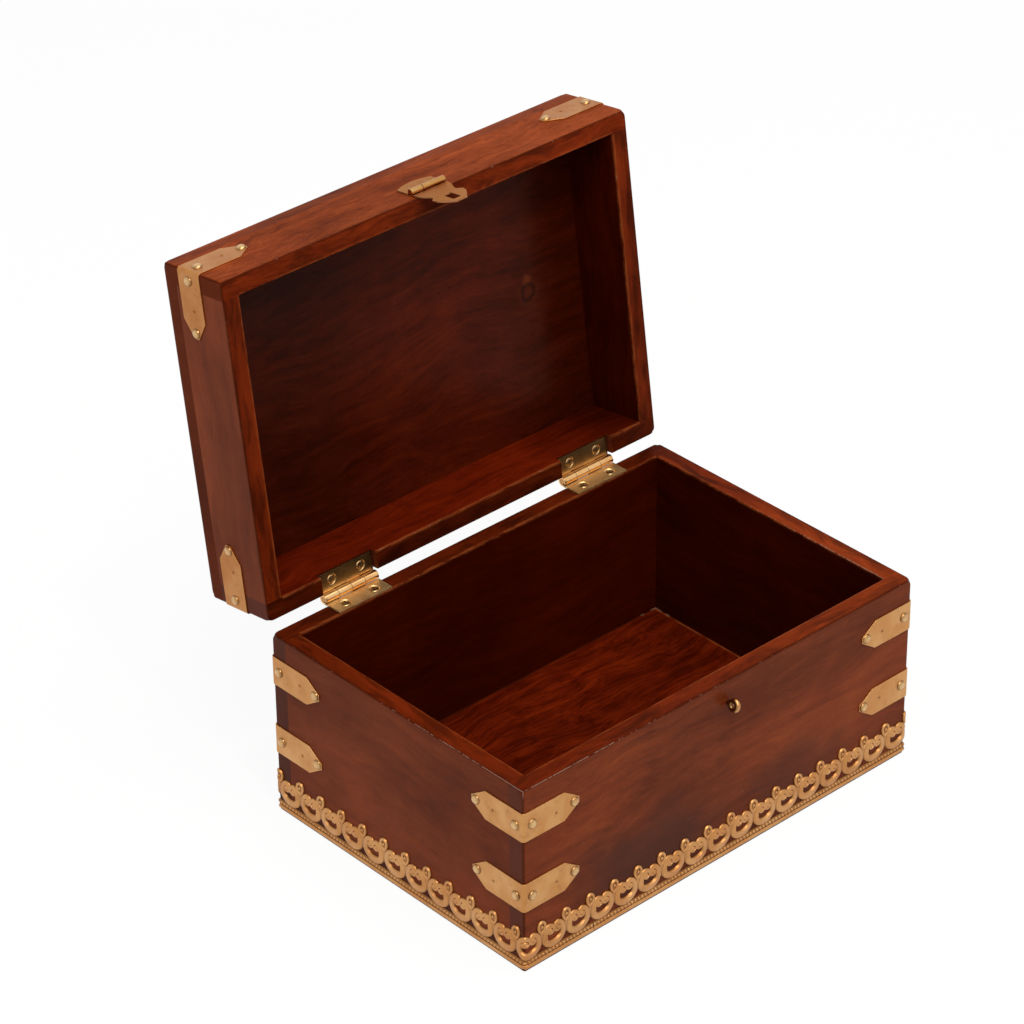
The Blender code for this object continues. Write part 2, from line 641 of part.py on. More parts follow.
def make_eye():
    """Upright ring of wire on a shank that goes straight into the front board."""
    ring = bmesh.new()
    centre = Vector((HASP_OFFSET, FRONT - EYE_STANDOFF, EYE_Z))
    rows = []
    for step in range(EYE_STEPS):
        a = 2 * math.pi * step / EYE_STEPS
        spoke = Vector((0, math.cos(a), math.sin(a)))
        sides = [2 * math.pi * (side + 0.5) / EYE_SIDES for side in range(EYE_SIDES)]
        across = [spoke * math.cos(b) + Vector((math.sin(b), 0, 0)) for b in sides]
        rows.append([ring.verts.new(centre + spoke * EYE_RING_RADIUS + w * EYE_WIRE_RADIUS) for w in across])
    for row, after in zip(rows, rows[1:] + rows[:1]):
        for i in range(EYE_SIDES):
            j = (i + 1) % EYE_SIDES
            ring.faces.new((row[i], row[j], after[j], after[i]))
    eye = add_piece("screw_eye", ring, TURNED_BRASS, smooth=True)
    shank = bmesh.new()
    near = centre + Vector((0, EYE_RING_RADIUS, 0))
    add_rod(shank, EYE_WIRE_RADIUS, near, (HASP_OFFSET, FRONT + EYE_DEPTH, EYE_Z), EYE_SIDES)
    combine(eye, shank, "UNION")


def main():
    clear_scene()
    pin = Vector((0, PIN_Y, PIN_Z))
    hasp_pin = Vector((HASP_OFFSET, HASP_Y, HASP_Z))
    lid_pivot = add_pivot("lid_pivot", pin)
    lid_pivot.rotation_euler.x = -LID_OPEN_ANGLE
    hasp_pivot = add_pivot("hasp_pivot", hasp_pin - pin, lid_pivot)
    make_box_boards()
    make_lid_boards(lid_pivot, pin)
    make_hinges(lid_pivot, pin)
    make_straps(lid_pivot, pin)
    make_trim()
    make_hasp(lid_pivot, pin, hasp_pivot, hasp_pin)
    make_eye()


main()
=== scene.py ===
"""Dresses a wooden jewellery box: varnished boards, brass straps and trim, hinges, a hasp and its eye.

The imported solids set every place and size. Pieces of the lid are worked out as if it were shut, and are then
turned about the hinge pins to where the solids stand open.
"""

import json
import math

import bmesh
import bpy
import numpy as np
from bpy.props import FloatProperty, FloatVectorProperty, PointerProperty
from mathutils import Matrix


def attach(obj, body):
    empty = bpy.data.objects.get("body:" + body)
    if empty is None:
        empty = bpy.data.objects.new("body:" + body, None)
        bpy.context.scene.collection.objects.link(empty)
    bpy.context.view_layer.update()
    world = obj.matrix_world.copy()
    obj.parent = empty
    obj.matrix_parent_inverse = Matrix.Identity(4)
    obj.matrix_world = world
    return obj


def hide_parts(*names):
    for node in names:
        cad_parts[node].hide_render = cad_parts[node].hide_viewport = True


bl_info = {
    "name": "Jewellery Box",
    "version": (1, 0, 0),
    "blender": (4, 5, 0),
    "location": "3D View > Sidebar > Jewellery Box",
    "description": "Varnished boards, brass fittings and a plain stage for a jewellery box",
    "category": "Add Mesh",
}

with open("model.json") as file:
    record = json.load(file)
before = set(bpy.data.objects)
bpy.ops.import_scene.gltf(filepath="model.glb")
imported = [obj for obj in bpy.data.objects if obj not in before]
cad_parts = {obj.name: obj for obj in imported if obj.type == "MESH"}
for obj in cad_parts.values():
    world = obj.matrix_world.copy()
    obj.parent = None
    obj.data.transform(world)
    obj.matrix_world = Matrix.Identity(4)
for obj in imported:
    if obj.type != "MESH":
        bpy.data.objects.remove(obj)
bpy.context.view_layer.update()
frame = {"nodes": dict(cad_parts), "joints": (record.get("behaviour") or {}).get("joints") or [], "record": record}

LID_HINGE = next(joint for joint in frame["joints"] if joint["name"] == "lid_hinge")
LID_PIN = np.array(LID_HINGE["pos_m"])
OPEN_ANGLE = math.radians(LID_HINGE["range_deg"][1])
OPEN_COS, OPEN_SIN = math.cos(OPEN_ANGLE), math.sin(OPEN_ANGLE)
OPEN_TURN = np.array([[1.0, 0.0, 0.0], [0.0, OPEN_COS, OPEN_SIN], [0.0, -OPEN_SIN, OPEN_COS]])
BODY_OF = {node: body for body, nodes in frame["record"]["behaviour"]["bodies"].items() for node in nodes}
SIDES = ("left", "right")
CORNERS = ("front_right", "back_right", "back_left", "front_left")
STRAPS = [f"{level}_strap_{corner}" for level in ("upper", "lower", "lid") for corner in CORNERS]

# Each board: grain axis, inner face, eased level, eased sides there, and upright corners that are rounded.
BOARDS = {
    "base_panel": ("x", "z+", "z-", "x- x+ y- y+", "x-y- x+y- x-y+ x+y+"),
    "front_board": ("x", "y+", "z+", "x- x+ y- y+", "x-y- x+y-"),
    "back_board": ("x", "y-", "z+", "x- x+ y- y+", "x-y+ x+y+"),
    "left_board": ("y", "x+", "z+", "x- x+", ""),
    "right_board": ("y", "x-", "z+", "x- x+", ""),
    "lid_top_panel": ("x", "z-", "z+", "x- x+ y- y+", "x-y- x+y- x-y+ x+y+"),
    "lid_front_rail": ("x", "y+", "z-", "x- x+ y- y+", "x-y- x+y-"),
    "lid_back_rail": ("x", "y-", "z-", "x- x+ y- y+", "x-y+ x+y+"),
    "lid_left_rail": ("y", "x+", "z-", "x- x+", ""),
    "lid_right_rail": ("y", "x-", "z-", "x- x+", ""),
}
# Tone of each board's outer faces, inner face and rim, share of the inner tint, and strength of the figure. The
# inner face's tone is painted light and shade: darker on the shaded walls and the lid's panel, lighter on the
# floor and the lid back rail's lit inner face. The inner tint is painted shade.
LOOKS = {
    "base_panel": (0.90, 1.12, 0.90, 0.95, 1.6),
    "front_board": (1.08, 0.60, 0.90, 1.0, 0.60),
    "back_board": (0.94, 0.56, 0.70, 1.0, 0.60),
    "left_board": (1.14, 0.60, 1.00, 1.0, 0.45),
    "right_board": (0.95, 0.40, 1.05, 1.0, 0.70),
    "lid_top_panel": (1.30, 0.54, 0.95, 0.85, 0.95),
    "lid_front_rail": (1.50, 0.60, 1.00, 1.0, 1.05),
    "lid_back_rail": (1.10, 1.12, 0.42, 1.0, 0.90),
    "lid_left_rail": (1.20, 0.60, 0.95, 1.0, 0.50),
    "lid_right_rail": (0.96, 0.42, 0.80, 1.0, 0.90),
}
# Gloss of the varnish on most boards, and on those that aren't like the rest.
BOARD_GLOSS = 0.05
GLOSS = {"base_panel": 0.03, "lid_top_panel": 0.050, "lid_front_rail": 0.006, "left_board": 0.04}
# Gloss of the rims, and of the outside of the lid's panel.
RIM_GLOSS = 0.012
# How often the figure bends along and across the grain, and how far.
WOOD_CURL = (13.0, 19.0, 0.030)
CURL = {"lid_front_rail": (40.0, 60.0, 0.014)}
# Boards whose inner edge is eased only between the two side boards, and boards that the hinges are let into.
BETWEEN = {
    "front_board": ("left_board", "right_board"),
    "back_board": ("left_board", "right_board"),
    "lid_front_rail": ("lid_left_rail", "lid_right_rail"),
    "lid_back_rail": ("lid_left_rail", "lid_right_rail"),
}
HINGED_BOARDS = {"back_board": "box", "lid_back_rail": "lid"}

# Values that a board's material reads by face.
FACE_VALUES = ("tone", "end_grain", "inside", "rim")
# Angles past which an edge is shaded sharp, and past which it gets a bevel.
SHARP_ANGLE, BEVEL_ANGLE = math.radians(38), math.radians(50)

# Sheet brass of each fitting: the values that sheet_brass is given for it.
SHEET_BRASS = {
    "strap_brass": {"tarnish_and_shade": 0.9, "tint": (1.05, 1.09, 1.09)},
    "lid_strap_brass": {"tarnish_and_shade": 0.9, "tint": (0.86, 0.75, 0.62)},
    "stamped_brass": {"tarnish_and_shade": 0.95},
    "box_leaf_brass": {"tarnish_and_shade": 0.97, "tint": (1.22, 1.64, 2.0), "rough": (0.40, 0.50), "aged": 0.25},
    "lid_leaf_brass": {"tarnish_and_shade": 0.97, "tint": (1.22, 1.64, 2.0), "rough": (0.26, 0.36), "aged": 0.25},
    # Brighter copy of the leaves' brass on the knuckles: painted highlight.
    "knuckle_brass_painted_highlight": {"tarnish_and_shade": 0.97, "tint": (1.42, 1.74, 2.10), "rough": (0.14, 0.22), "aged": 0.25},
    "hasp_brass": {
        "tarnish_and_shade": 0.6,
        "tint": (0.66, 0.60, 0.80),
        "rough": (0.34, 0.46),
        "aged": 0.9,
        "low_angle": (1.0, 0.72, 0.48),
    },
    # Paler copy of the hasp's brass on its barrel: painted highlight.
    "barrel_brass_painted_highlight": {"tarnish_and_shade": 0.6, "tint": (0.95, 1.05, 0.95), "rough": (0.13, 0.20), "aged": 0.4},
}
# Drawn and turned brass: its colour, then the colour of its low places, and the shares of that one where the
# relief is low and where it is high.
PLAIN_BRASS = {
    "drawn_brass": ("brass_pale",),
    # On the nails, the dark share low on each head is painted shade.
    "nail_brass": ("brass_nail", "brass_tarnish_and_shade", (0.80, 0.0)),
    # On the screws, the dark cross and edge are painted shade.
    "screw_metal": ("brass_nail", "screw_dark", (1.0, 0.45)),
    # On the eye, the dark inner side is painted shade.
    "eye_brass": ("brass_pale", "screw_dark", (0.70, 0.10)),
}


def length_property(name, description, default):
    """A length that a user may change."""
    return FloatProperty(name=name, description=description, default=default, unit="LENGTH")


def colour_property(name, description, default):
    """A colour that a user may change."""
    return FloatVectorProperty(
        name=name, description=description, default=default, size=3, min=0.0, max=1.0, subtype="COLOR"
    )


class JewelleryBoxSizes(bpy.types.PropertyGroup):
    """Sizes of the details that the solids leave plain"""

    arris: length_property("Arris", "Radius of the eased edges of the rims", 0.0008)
    lid_arris: length_property("Lid Arris", "Radius of the eased edges of the lid's top", 0.003)
    foot_arris: length_property("Foot Arris", "Radius of the lowest edges of the box", 0.0004)
    corner: length_property("Corner", "Radius of the upright corners", 0.0012)
    worn_corner: length_property("Worn Corner", "Reach of the rounding at the rims' outer corners", 0.0035)
    # Reach of both the worn varnish and the painted glints, which lie closest to the arris.
    wear_and_glint: length_property("Wear", "Reach of the worn varnish from an arris", 0.0017)
    sheet_edge: length_property("Sheet Edge", "Bevel on the edges of sheet brass", 0.0002)
    leaf_edge: length_property("Leaf Edge", "Bevel on the edges of the hinges' leaves", 0.0003)
    seat: length_property("Seat", "Gap between a fitting and the wood under it", 0.00005)
    strap_leg: length_property("Strap Leg", "Length of a strap's leg from the corner", 0.0335)
    strap_point: length_property("Strap Point", "Length of a strap's tapered end", 0.009)
    strap_tip: length_property("Strap Tip", "Width of a strap's blunt tip", 0.003)
    strap_thickness: length_property("Strap Thickness", "Thickness of the straps' sheet", 0.00055)
    nail_radius: length_property("Nail Radius", "Radius of a dome nail's head", 0.0025)
    nail_height: length_property("Nail Height", "Height of a dome nail's head", 0.0014)
    trim_relief: length_property("Trim Relief", "Height of the trim's ribs over the wood", 0.001)
    screw_radius: length_property("Screw Radius", "Radius of a hinge screw's head", 0.0023)


class JewelleryBoxColours(bpy.types.PropertyGroup):
    """Colours of the wood, the brass and the floor"""

    wood_dark: colour_property("Dark Wood", "Dark streaks of the wood", (0.064, 0.0104, 0.0025))
    wood_mid: colour_property("Wood", "Main colour of the varnished wood", (0.118, 0.0205, 0.0044))
    wood_light: colour_property("Light Wood", "Pale streaks of the wood", (0.180, 0.0350, 0.0080))
    wood_pore: colour_property("Pores", "Pores of the wood and its dark edges", (0.026, 0.0040, 0.0012))
    wood_worn: colour_property("Worn Wood", "Worn varnish along the inner edges", (0.215, 0.0480, 0.0115))
    # Painted glints along the edges, and pale scratches and specks on the front.
    wood_scratch_and_glint: colour_property("Glints and Scratches", "Painted glints on the edges, and pale scratches and specks on the front", (0.420, 0.2500, 0.1900))
    wood_end: colour_property("End Grain", "End grain of the boards", (0.058, 0.0125, 0.0060))
    # Painted shade: darkens and reddens the inner faces, as the shade and the red light inside the box do.
    wood_inner_shade: colour_property("Inner Tint", "Painted shade on the wood inside the box", (0.64, 0.26, 0.12))
    wood_rim: colour_property("Rim Tint", "Tint of the wood on the rims", (1.0, 0.64, 0.48))
    wood_cloud: colour_property("Dark Clouds", "Dark clouds low on the front", (0.048, 0.0130, 0.0070))
    wood_knot: colour_property("Knot", "Knot in the lid's panel", (0.010, 0.0012, 0.0006))
    brass: colour_property("Brass", "Sheet brass of the straps and trim", (0.505, 0.222, 0.070))
    brass_pale: colour_property("Pale Brass", "Rubbed brass on high places", (0.575, 0.290, 0.108))
    brass_nail: colour_property("Nails", "Heads of the nails", (0.660, 0.430, 0.200))
    # Tarnish in recesses, and painted shade on the nails, round the nails on the straps and on the hinges' leaves.
    brass_tarnish_and_shade: colour_property("Dull Brass", "Tarnished brass in recesses, and painted shade", (0.200, 0.085, 0.026))
    # Painted shade on the screws' crosses and edges, and on the eye's inner side.
    screw_dark: colour_property("Dark Screw", "Cross and edge of the screws' heads", (0.085, 0.042, 0.020))
    glue: colour_property("Glue", "Dried glue in the inner corners", (0.200, 0.120, 0.075))
    floor: colour_property("Floor", "Floor under the box", (0.86, 0.86, 0.86))


def settings(context):
    """The sizes and the colours that the user has set."""
    return context.scene.jewellery_box_sizes, context.scene.jewellery_box_colours


def open_lid(points):
    """Turns points of the shut lid about the hinge pins to where it stands open."""
    return (points - LID_PIN) @ OPEN_TURN.T + LID_PIN


def shut_lid(points):
    """Turns points of the open lid back to where it is shut."""
    return (points - LID_PIN) @ OPEN_TURN + LID_PIN


def node_box(node):
    """Lowest and highest corner of a solid, with the lid shut."""
    mesh = frame["nodes"][node].data
    points = np.empty(len(mesh.vertices) * 3)
    mesh.vertices.foreach_get("co", points)
    points = points.reshape(-1, 3)
    if BODY_OF[node] != "box":
        points = shut_lid(points)
    return points.min(0), points.max(0)


BASE_LOW, BASE_HIGH = node_box("base_panel")
LENGTH, WIDTH = (BASE_HIGH - BASE_LOW)[:2]


def stacked(*parts):
    """Places out of their coordinates, each spread to the shape that all of them make."""
    return np.stack(np.broadcast_arrays(*parts), axis=-1)


def ramp(value, start, end):
    """0 before the start, 1 past the end, and an even slope between them."""
    return np.clip((value - start) / (end - start), 0.0, 1.0)


def bell(value, middle, width):
    """Bell curve of a value, 1 at its middle."""
    return np.exp(-(((value - middle) / width) ** 2))


def turns(steps):
    """Angles of a whole turn in even steps, without its end."""
    return np.linspace(0.0, 2.0 * np.pi, steps, endpoint=False)


def cell_middles(lines):
    """Middles between each line and the next."""
    return (lines[1:] + lines[:-1]) / 2.0


def put_piece(node, kind, points, faces, material, values, edge=0.0, second=None):
    """Makes a closed mesh of a piece, at rest, hangs it on its solid's body and lets it stand for the solid.

    values are what the material reads, by point or by face. An edge above zero is a bevel on the sharp edges.
    second, where given, is another material and which faces have it. Nails stand for nothing: they are extra.
    """
    name, body = f"{node}_{kind}", BODY_OF[node]
    points = np.asarray(points, float).reshape(-1, 3)
    if body != "box":
        points = open_lid(points)
    mesh = bpy.data.meshes.new(name)
    mesh.from_pydata(points, [], [face.tolist() for group in faces for face in group])
    for label, numbers in values.items():
        form, item = ("FLOAT_VECTOR", "vector") if label == "grain" else ("FLOAT", "value")
        layer = mesh.attributes.new(label, form, "FACE" if label in FACE_VALUES else "POINT")
        layer.data.foreach_set(item, np.ravel(numbers))
    bm = bmesh.new()
    bm.from_mesh(mesh)
    bmesh.ops.recalc_face_normals(bm, faces=bm.faces)
    bm.to_mesh(mesh)
    bm.free()
    mesh.shade_smooth()
    mesh.set_sharp_from_angle(angle=SHARP_ANGLE)
    mesh.materials.append(material)
    if second:
        mesh.materials.append(second[0])
        mesh.polygons.foreach_set("material_index", second[1].astype(np.int32))
    piece = bpy.data.objects.new(name, mesh)
    bpy.context.scene.collection.objects.link(piece)
    if edge > 0.0:
        bevel = piece.modifiers.new("edge", "BEVEL")
        bevel.width = edge
        bevel.segments = 2
        bevel.limit_method = "ANGLE"
        bevel.angle_limit = BEVEL_ANGLE
    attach(piece, body)
    if kind != "nails":
        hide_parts(node)


def finish_node(node, material):
    """Gives a solid that is shown as it is its material."""
    for slot in frame["nodes"][node].material_slots:
        slot.material = material


def join_shapes(shapes):
    """One list of points and faces out of several (points, faces) shapes."""
    starts = np.cumsum([0] + [len(points) for points, _ in shapes[:-1]])
    faces = [group + start for (_, groups), start in zip(shapes, starts) for group in groups]
    return np.concatenate([points for points, _ in shapes]), faces


def repeat_shape(shape, shifts):
    """Copies of a (points, faces) shape, each moved by its own shift."""
    points, groups = shape
    moved = points[None] + np.asarray(shifts)[:, None]
    starts = np.arange(len(shifts)) * len(points)
    faces = [(group[None] + starts[:, None, None]).reshape(-1, group.shape[1]) for group in groups]
    return moved.reshape(-1, 3), faces


def tube(rows, closed=False):
    """Closed skin of a profile carried along a path: rows holds the profile at each step of the path.

    Quads join each row to the next and each profile's last point to its first. The ends are closed by fans
    round their middles, unless the path itself is closed.
    """
    steps, sides = rows.shape[:2]
    index = np.arange(steps * sides).reshape(steps, sides)
    around = np.roll(index, -1, axis=1)
    onward = np.roll(index, -1, axis=0)
    both = np.roll(around, -1, axis=0)
    quads = stacked(index, around, both, onward)
    points = rows.reshape(-1, 3)
    if closed:
        return points, [quads.reshape(-1, 4)]
    poles = np.stack([rows[0].mean(0), rows[-1].mean(0)])
    first = stacked(around[0], index[0], steps * sides)
    last = stacked(index[-1], around[-1], steps * sides + 1)
    return np.concatenate([points, poles]), [quads[:-1].reshape(-1, 4), first, last]


def turned(profile, sides):
    """Closed skin of a profile of (radius, height) turned about Z, with fans at its two ends."""
    angles = turns(sides)
    profile = np.asarray(profile)
    radius, height = profile[:, :1], profile[:, 1:]
    return tube(stacked(radius * np.cos(angles), radius * np.sin(angles), height))


def sheet_shell(front, back, keep):
    """Closed shell between two grids of points; each cell that isn't kept is left open.

    The cells make the two faces, and a quad on each edge that only one kept cell has makes the rim.
    """
    index = np.arange(front.shape[0] * front.shape[1]).reshape(front.shape[:2])
    corners = [index[:-1, :-1], index[1:, :-1], index[1:, 1:], index[:-1, 1:]]
    quads = np.stack([corner[keep] for corner in corners], axis=-1)
    edges = np.concatenate([quads[:, [k, (k + 1) % 4]] for k in range(4)])
    key = edges[:, 0] * index.size + edges[:, 1]
    reverse = edges[:, 1] * index.size + edges[:, 0]
    rim = edges[~np.isin(key, reverse)]
    wall = stacked(rim[:, 1], rim[:, 0], rim[:, 0] + index.size, rim[:, 1] + index.size)
    faces = np.concatenate([quads, quads[:, ::-1] + index.size, wall])
    used, faces = np.unique(faces, return_inverse=True)
    points = np.concatenate([front.reshape(-1, 3), back.reshape(-1, 3)])[used]
    return points, [faces.reshape(-1, 4)]


def lattice_skin(lines, keep):
    """Closed skin of the kept cells in a lattice of uneven lines along X, Y and Z.

    A quad stands on each wall between a kept cell and an empty one, and faces the empty one. Returns the
    points, the quads, and the axis and direction that each quad faces.
    """
    index = np.arange(np.prod([len(line) for line in lines])).reshape([len(line) for line in lines])
    solid = np.pad(keep.astype(np.int8), 1)
    quads, axes, ways = [], [], []
    for axis in range(3):
        inner = tuple(slice(None) if other == axis else slice(1, -1) for other in range(3))
        step = np.diff(solid, axis=axis)[inner]
        across, beyond = np.eye(3, dtype=int)[[(axis + 1) % 3, (axis + 2) % 3]]
        for way in (1, -1):
            wall = np.argwhere(step == -way)
            ring = [wall, wall + across, wall + across + beyond, wall + beyond][::way]
            quads.append(np.stack([index[tuple(corner.T)] for corner in ring], axis=-1))
            axes.append(np.full(len(wall), axis))
            ways.append(np.full(len(wall), way))
    used, quads = np.unique(np.concatenate(quads), return_inverse=True)
    grid = np.stack(np.meshgrid(*lines, indexing="ij"), axis=-1).reshape(-1, 3)
    return grid[used], quads.reshape(-1, 4), np.concatenate(axes), np.concatenate(ways)


def ways_round_box(corner):
    """Lengths of the box's four straights and of the quarter turn after each, and where those turns end."""
    straights = np.array([LENGTH, WIDTH, LENGTH, WIDTH]) - 2.0 * corner
    arc = corner * np.pi / 2.0
    return straights, arc, np.cumsum(straights + arc)


def corner_way(corner_name, corner):
    """Way round the box to the middle of a corner."""
    _, arc, ends = ways_round_box(corner)
    return ends[CORNERS.index(corner_name)] - arc / 2.0


def wrap_round_box(flat, corner):
    """Bends flat points (way round, height off the wood, height) round the box's four upright corners.

    The way round starts at the front-left corner. It is four straights, each with a quarter turn after it,
    and every point is moved off the wood along the outward normal of its own place.
    """
    straights, arc, ends = ways_round_box(corner)
    way = np.mod(flat[..., 0], ends[-1])
    side = np.searchsorted(ends, way, side="right") % 4
    run = way - (ends - straights - arc)[side]
    heading = side * np.pi / 2.0
    turn = heading + np.clip(run - straights[side], 0.0, arc) / corner
    run = np.minimum(run, straights[side])
    x, y = LENGTH / 2.0, WIDTH / 2.0
    starts = np.array([(corner - x, -y), (x, corner - y), (x - corner, y), (-x, y - corner)])[side]
    off = corner + flat[..., 1]
    place_x = starts[..., 0] + np.cos(heading) * run - np.sin(heading) * corner + np.sin(turn) * off
    place_y = starts[..., 1] + np.sin(heading) * run + np.cos(heading) * corner - np.cos(turn) * off
    return stacked(place_x, place_y, flat[..., 2])


class NodeSheet:
    """Nodes of one material or world; nearly every method adds a node and returns its output."""

    def __init__(self, owner, shader="Principled BSDF"):
        owner.use_nodes = True
        self.owner = owner
        self.tree = owner.node_tree
        self.shader = self.tree.nodes[shader]

    def add(self, kind, output=0, inputs=(), **options):
        node = self.tree.nodes.new(kind)
        for key, value in options.items():
            setattr(node, key, value)
        for key, value in dict(inputs).items():
            self.put(node.inputs[key], value)
        return node.outputs[output]

    def put(self, socket, value):
        if isinstance(value, bpy.types.NodeSocket):
            self.tree.links.new(value, socket)
        elif socket.type == "RGBA" and len(value) == 3:
            socket.default_value = (*value, 1.0)
        else:
            socket.default_value = value

    def set(self, **inputs):
        for key, value in inputs.items():
            self.put(self.shader.inputs[key.replace("_", " ")], value)

    def attribute(self, name, output="Fac"):
        return self.add("ShaderNodeAttribute", output, attribute_name=name)

    def place(self):
        return self.add("ShaderNodeTexCoord", "Object")

    def axes(self):
        """X, Y and Z of the place."""
        return self.add("ShaderNodeSeparateXYZ", 0, {0: self.place()}).node.outputs

    def mapped(self, vector, scale, turn=(0.0, 0.0, 0.0)):
        return self.add("ShaderNodeMapping", 0, {"Vector": vector, "Scale": scale, "Rotation": turn})

    def distance(self, vector, place):
        inputs = {0: vector, 1: tuple(place)}
        return self.add("ShaderNodeVectorMath", "Value", inputs, operation="DISTANCE")

    def noise(self, vector, scale, detail=3.0, roughness=0.55, distortion=0.0):
        inputs = {"Vector": vector, "Scale": scale, "Detail": detail}
        inputs.update({"Roughness": roughness, "Distortion": distortion})
        return self.add("ShaderNodeTexNoise", "Fac", inputs)

    def streaks(self, vector, along, across, *noise):
        """Noise drawn out along the grain, by its scales along it and across it."""
        return self.noise(self.mapped(vector, (along, across, across)), 1.0, *noise)

    def drift(self, vector, **inputs):
        """Noise in all three directions."""
        return self.add("ShaderNodeTexNoise", "Color", {"Vector": vector, **inputs})

    def span(self, value, low, high, to_low=0.0, to_high=1.0):
        inputs = {"Value": value, "From Min": low, "From Max": high, "To Min": to_low, "To Max": to_high}
        return self.add("ShaderNodeMapRange", 0, inputs, interpolation_type="SMOOTHSTEP")

    def math(self, operation, *values):
        return self.add("ShaderNodeMath", 0, dict(enumerate(values)), operation=operation)

    def times(self, first, second):
        return self.math("MULTIPLY", first, second)

    def plus(self, first, second):
        return self.math("ADD", first, second)

    def vector(self, operation, *values):
        return self.add("ShaderNodeVectorMath", 0, dict(enumerate(values)), operation=operation)

    def grey(self, value):
        return self.add("ShaderNodeCombineColor", 0, dict.fromkeys(range(3), value))

    def mix(self, factor, first, second, blend="MIX"):
        node = self.tree.nodes.new("ShaderNodeMix")
        node.data_type = "RGBA"
        node.blend_type = blend
        for name, value in (("Factor", factor), ("A", first), ("B", second)):
            self.put(node.inputs[name], value)
        return node.outputs["Result"]

    def shaded(self, colour, by):
        """A colour multiplied by another."""
        return self.mix(1.0, colour, by, "MULTIPLY")

    def colour_ramp(self, value, stops):
        node = self.tree.nodes.new("ShaderNodeValToRGB")
        elements = node.color_ramp.elements
        while len(elements) < len(stops):
            elements.new(0.5)
        for element, (position, colour) in zip(elements, stops):
            element.position = position
            element.color = (*colour, 1.0)
        self.put(node.inputs[0], value)
        return node.outputs[0]

    def bump(self, height, strength, distance):
        inputs = {"Height": height, "Strength": strength, "Distance": distance}
        return self.add("ShaderNodeBump", 0, inputs)

    def seen_directly(self):
        """1 for rays from the camera, from a mirror and through glass, and 0 for all others."""
        camera = self.add("ShaderNodeLightPath", "Is Camera Ray")
        rays = camera.node.outputs
        glossy = self.math("MAXIMUM", camera, rays["Is Glossy Ray"])
        return self.math("MAXIMUM", glossy, rays["Is Transmission Ray"])


def varnished_wood(name, colours, gloss, marks=None, curl=WOOD_CURL):
    """Dense hardwood under a varnish: slow blotches, curled figure, fibres, short pores, worn edges with painted
    glints, and painted shade on the inner faces.

    marks, where given, changes the colour by the piece's own places, as a knot or a line of glue does.
    """
    sheet = NodeSheet(bpy.data.materials.new(name))
    grain = sheet.attribute("grain", "Vector")
    along, across, reach = curl
    waves = sheet.drift(sheet.mapped(grain, (along, across, across)), Scale=1.0)
    bend = sheet.vector("MULTIPLY_ADD", waves, (0.0, reach, reach), grain)
    blotch = sheet.streaks(grain, 10.0, 24.0, 4.0, 0.6, 0.9)
    ripple = sheet.streaks(bend, 70.0, 26.0, 2.0, 0.5)
    streak = sheet.streaks(bend, 13.0, 210.0, 4.0, 0.6, 0.2)
    fibre = sheet.streaks(bend, 58.0, 950.0, 3.0, 0.65)
    pores = sheet.streaks(bend, 170.0, 1900.0, 2.0, 0.5)
    strength = sheet.attribute("figure")
    figure = sheet.math("MULTIPLY_ADD", streak, 0.50, sheet.math("MULTIPLY_ADD", fibre, 0.34, -0.50))
    figure = sheet.times(sheet.math("MULTIPLY_ADD", ripple, 0.16, figure), strength)
    tone = sheet.math("MULTIPLY_ADD", blotch, 0.34, sheet.plus(figure, 0.33))
    stops = [(0.36, colours.wood_dark), (0.50, colours.wood_mid), (0.66, colours.wood_light)]
    colour = sheet.colour_ramp(tone, stops)
    speck = sheet.times(sheet.span(pores, 0.59, 0.70), strength)
    colour = sheet.mix(sheet.times(speck, 0.42), colour, colours.wood_pore)
    end = sheet.times(sheet.attribute("end_grain"), 0.85)
    colour = sheet.mix(end, colour, sheet.mix(fibre, colours.wood_end, colours.wood_dark))
    rim = sheet.attribute("rim")
    # The inside tint is painted shade on the inner faces; the rim tint is the rims' own colour.
    for share, tint in ((sheet.attribute("inside"), colours.wood_inner_shade), (rim, colours.wood_rim)):
        colour = sheet.mix(share, colour, sheet.shaded(colour, tint))
    stain = sheet.streaks(bend, 34.0, 150.0, 4.0, 0.6)
    colour = sheet.mix(sheet.times(sheet.span(stain, 0.42, 0.66, 0.0, 0.66), rim), colour, colours.wood_pore)
    slow = sheet.span(sheet.streaks(grain, 7.0, 11.0, 2.0, 0.5), 0.36, 0.62, 0.80, 1.10)
    for value in (slow, sheet.attribute("tone")):
        colour = sheet.shaded(colour, sheet.grey(value))
    if marks:
        colour = marks(sheet, colour, colours)
    colour = worn_edges_and_glints(sheet, colour, colours, bend)
    smear = sheet.noise(sheet.place(), 36.0, 4.0, 0.6)
    rough = sheet.math("MULTIPLY_ADD", speck, 0.12, sheet.span(smear, 0.3, 0.7, 0.22, 0.34))
    height = sheet.math("MULTIPLY_ADD", fibre, 0.35, sheet.times(speck, -0.5))
    sheet.set(Base_Color=colour, Roughness=rough, Normal=sheet.bump(height, 0.16, 0.0002))
    sheet.set(Specular_IOR_Level=gloss, Specular_Tint=(1.0, 0.84, 0.70))
    return sheet.owner


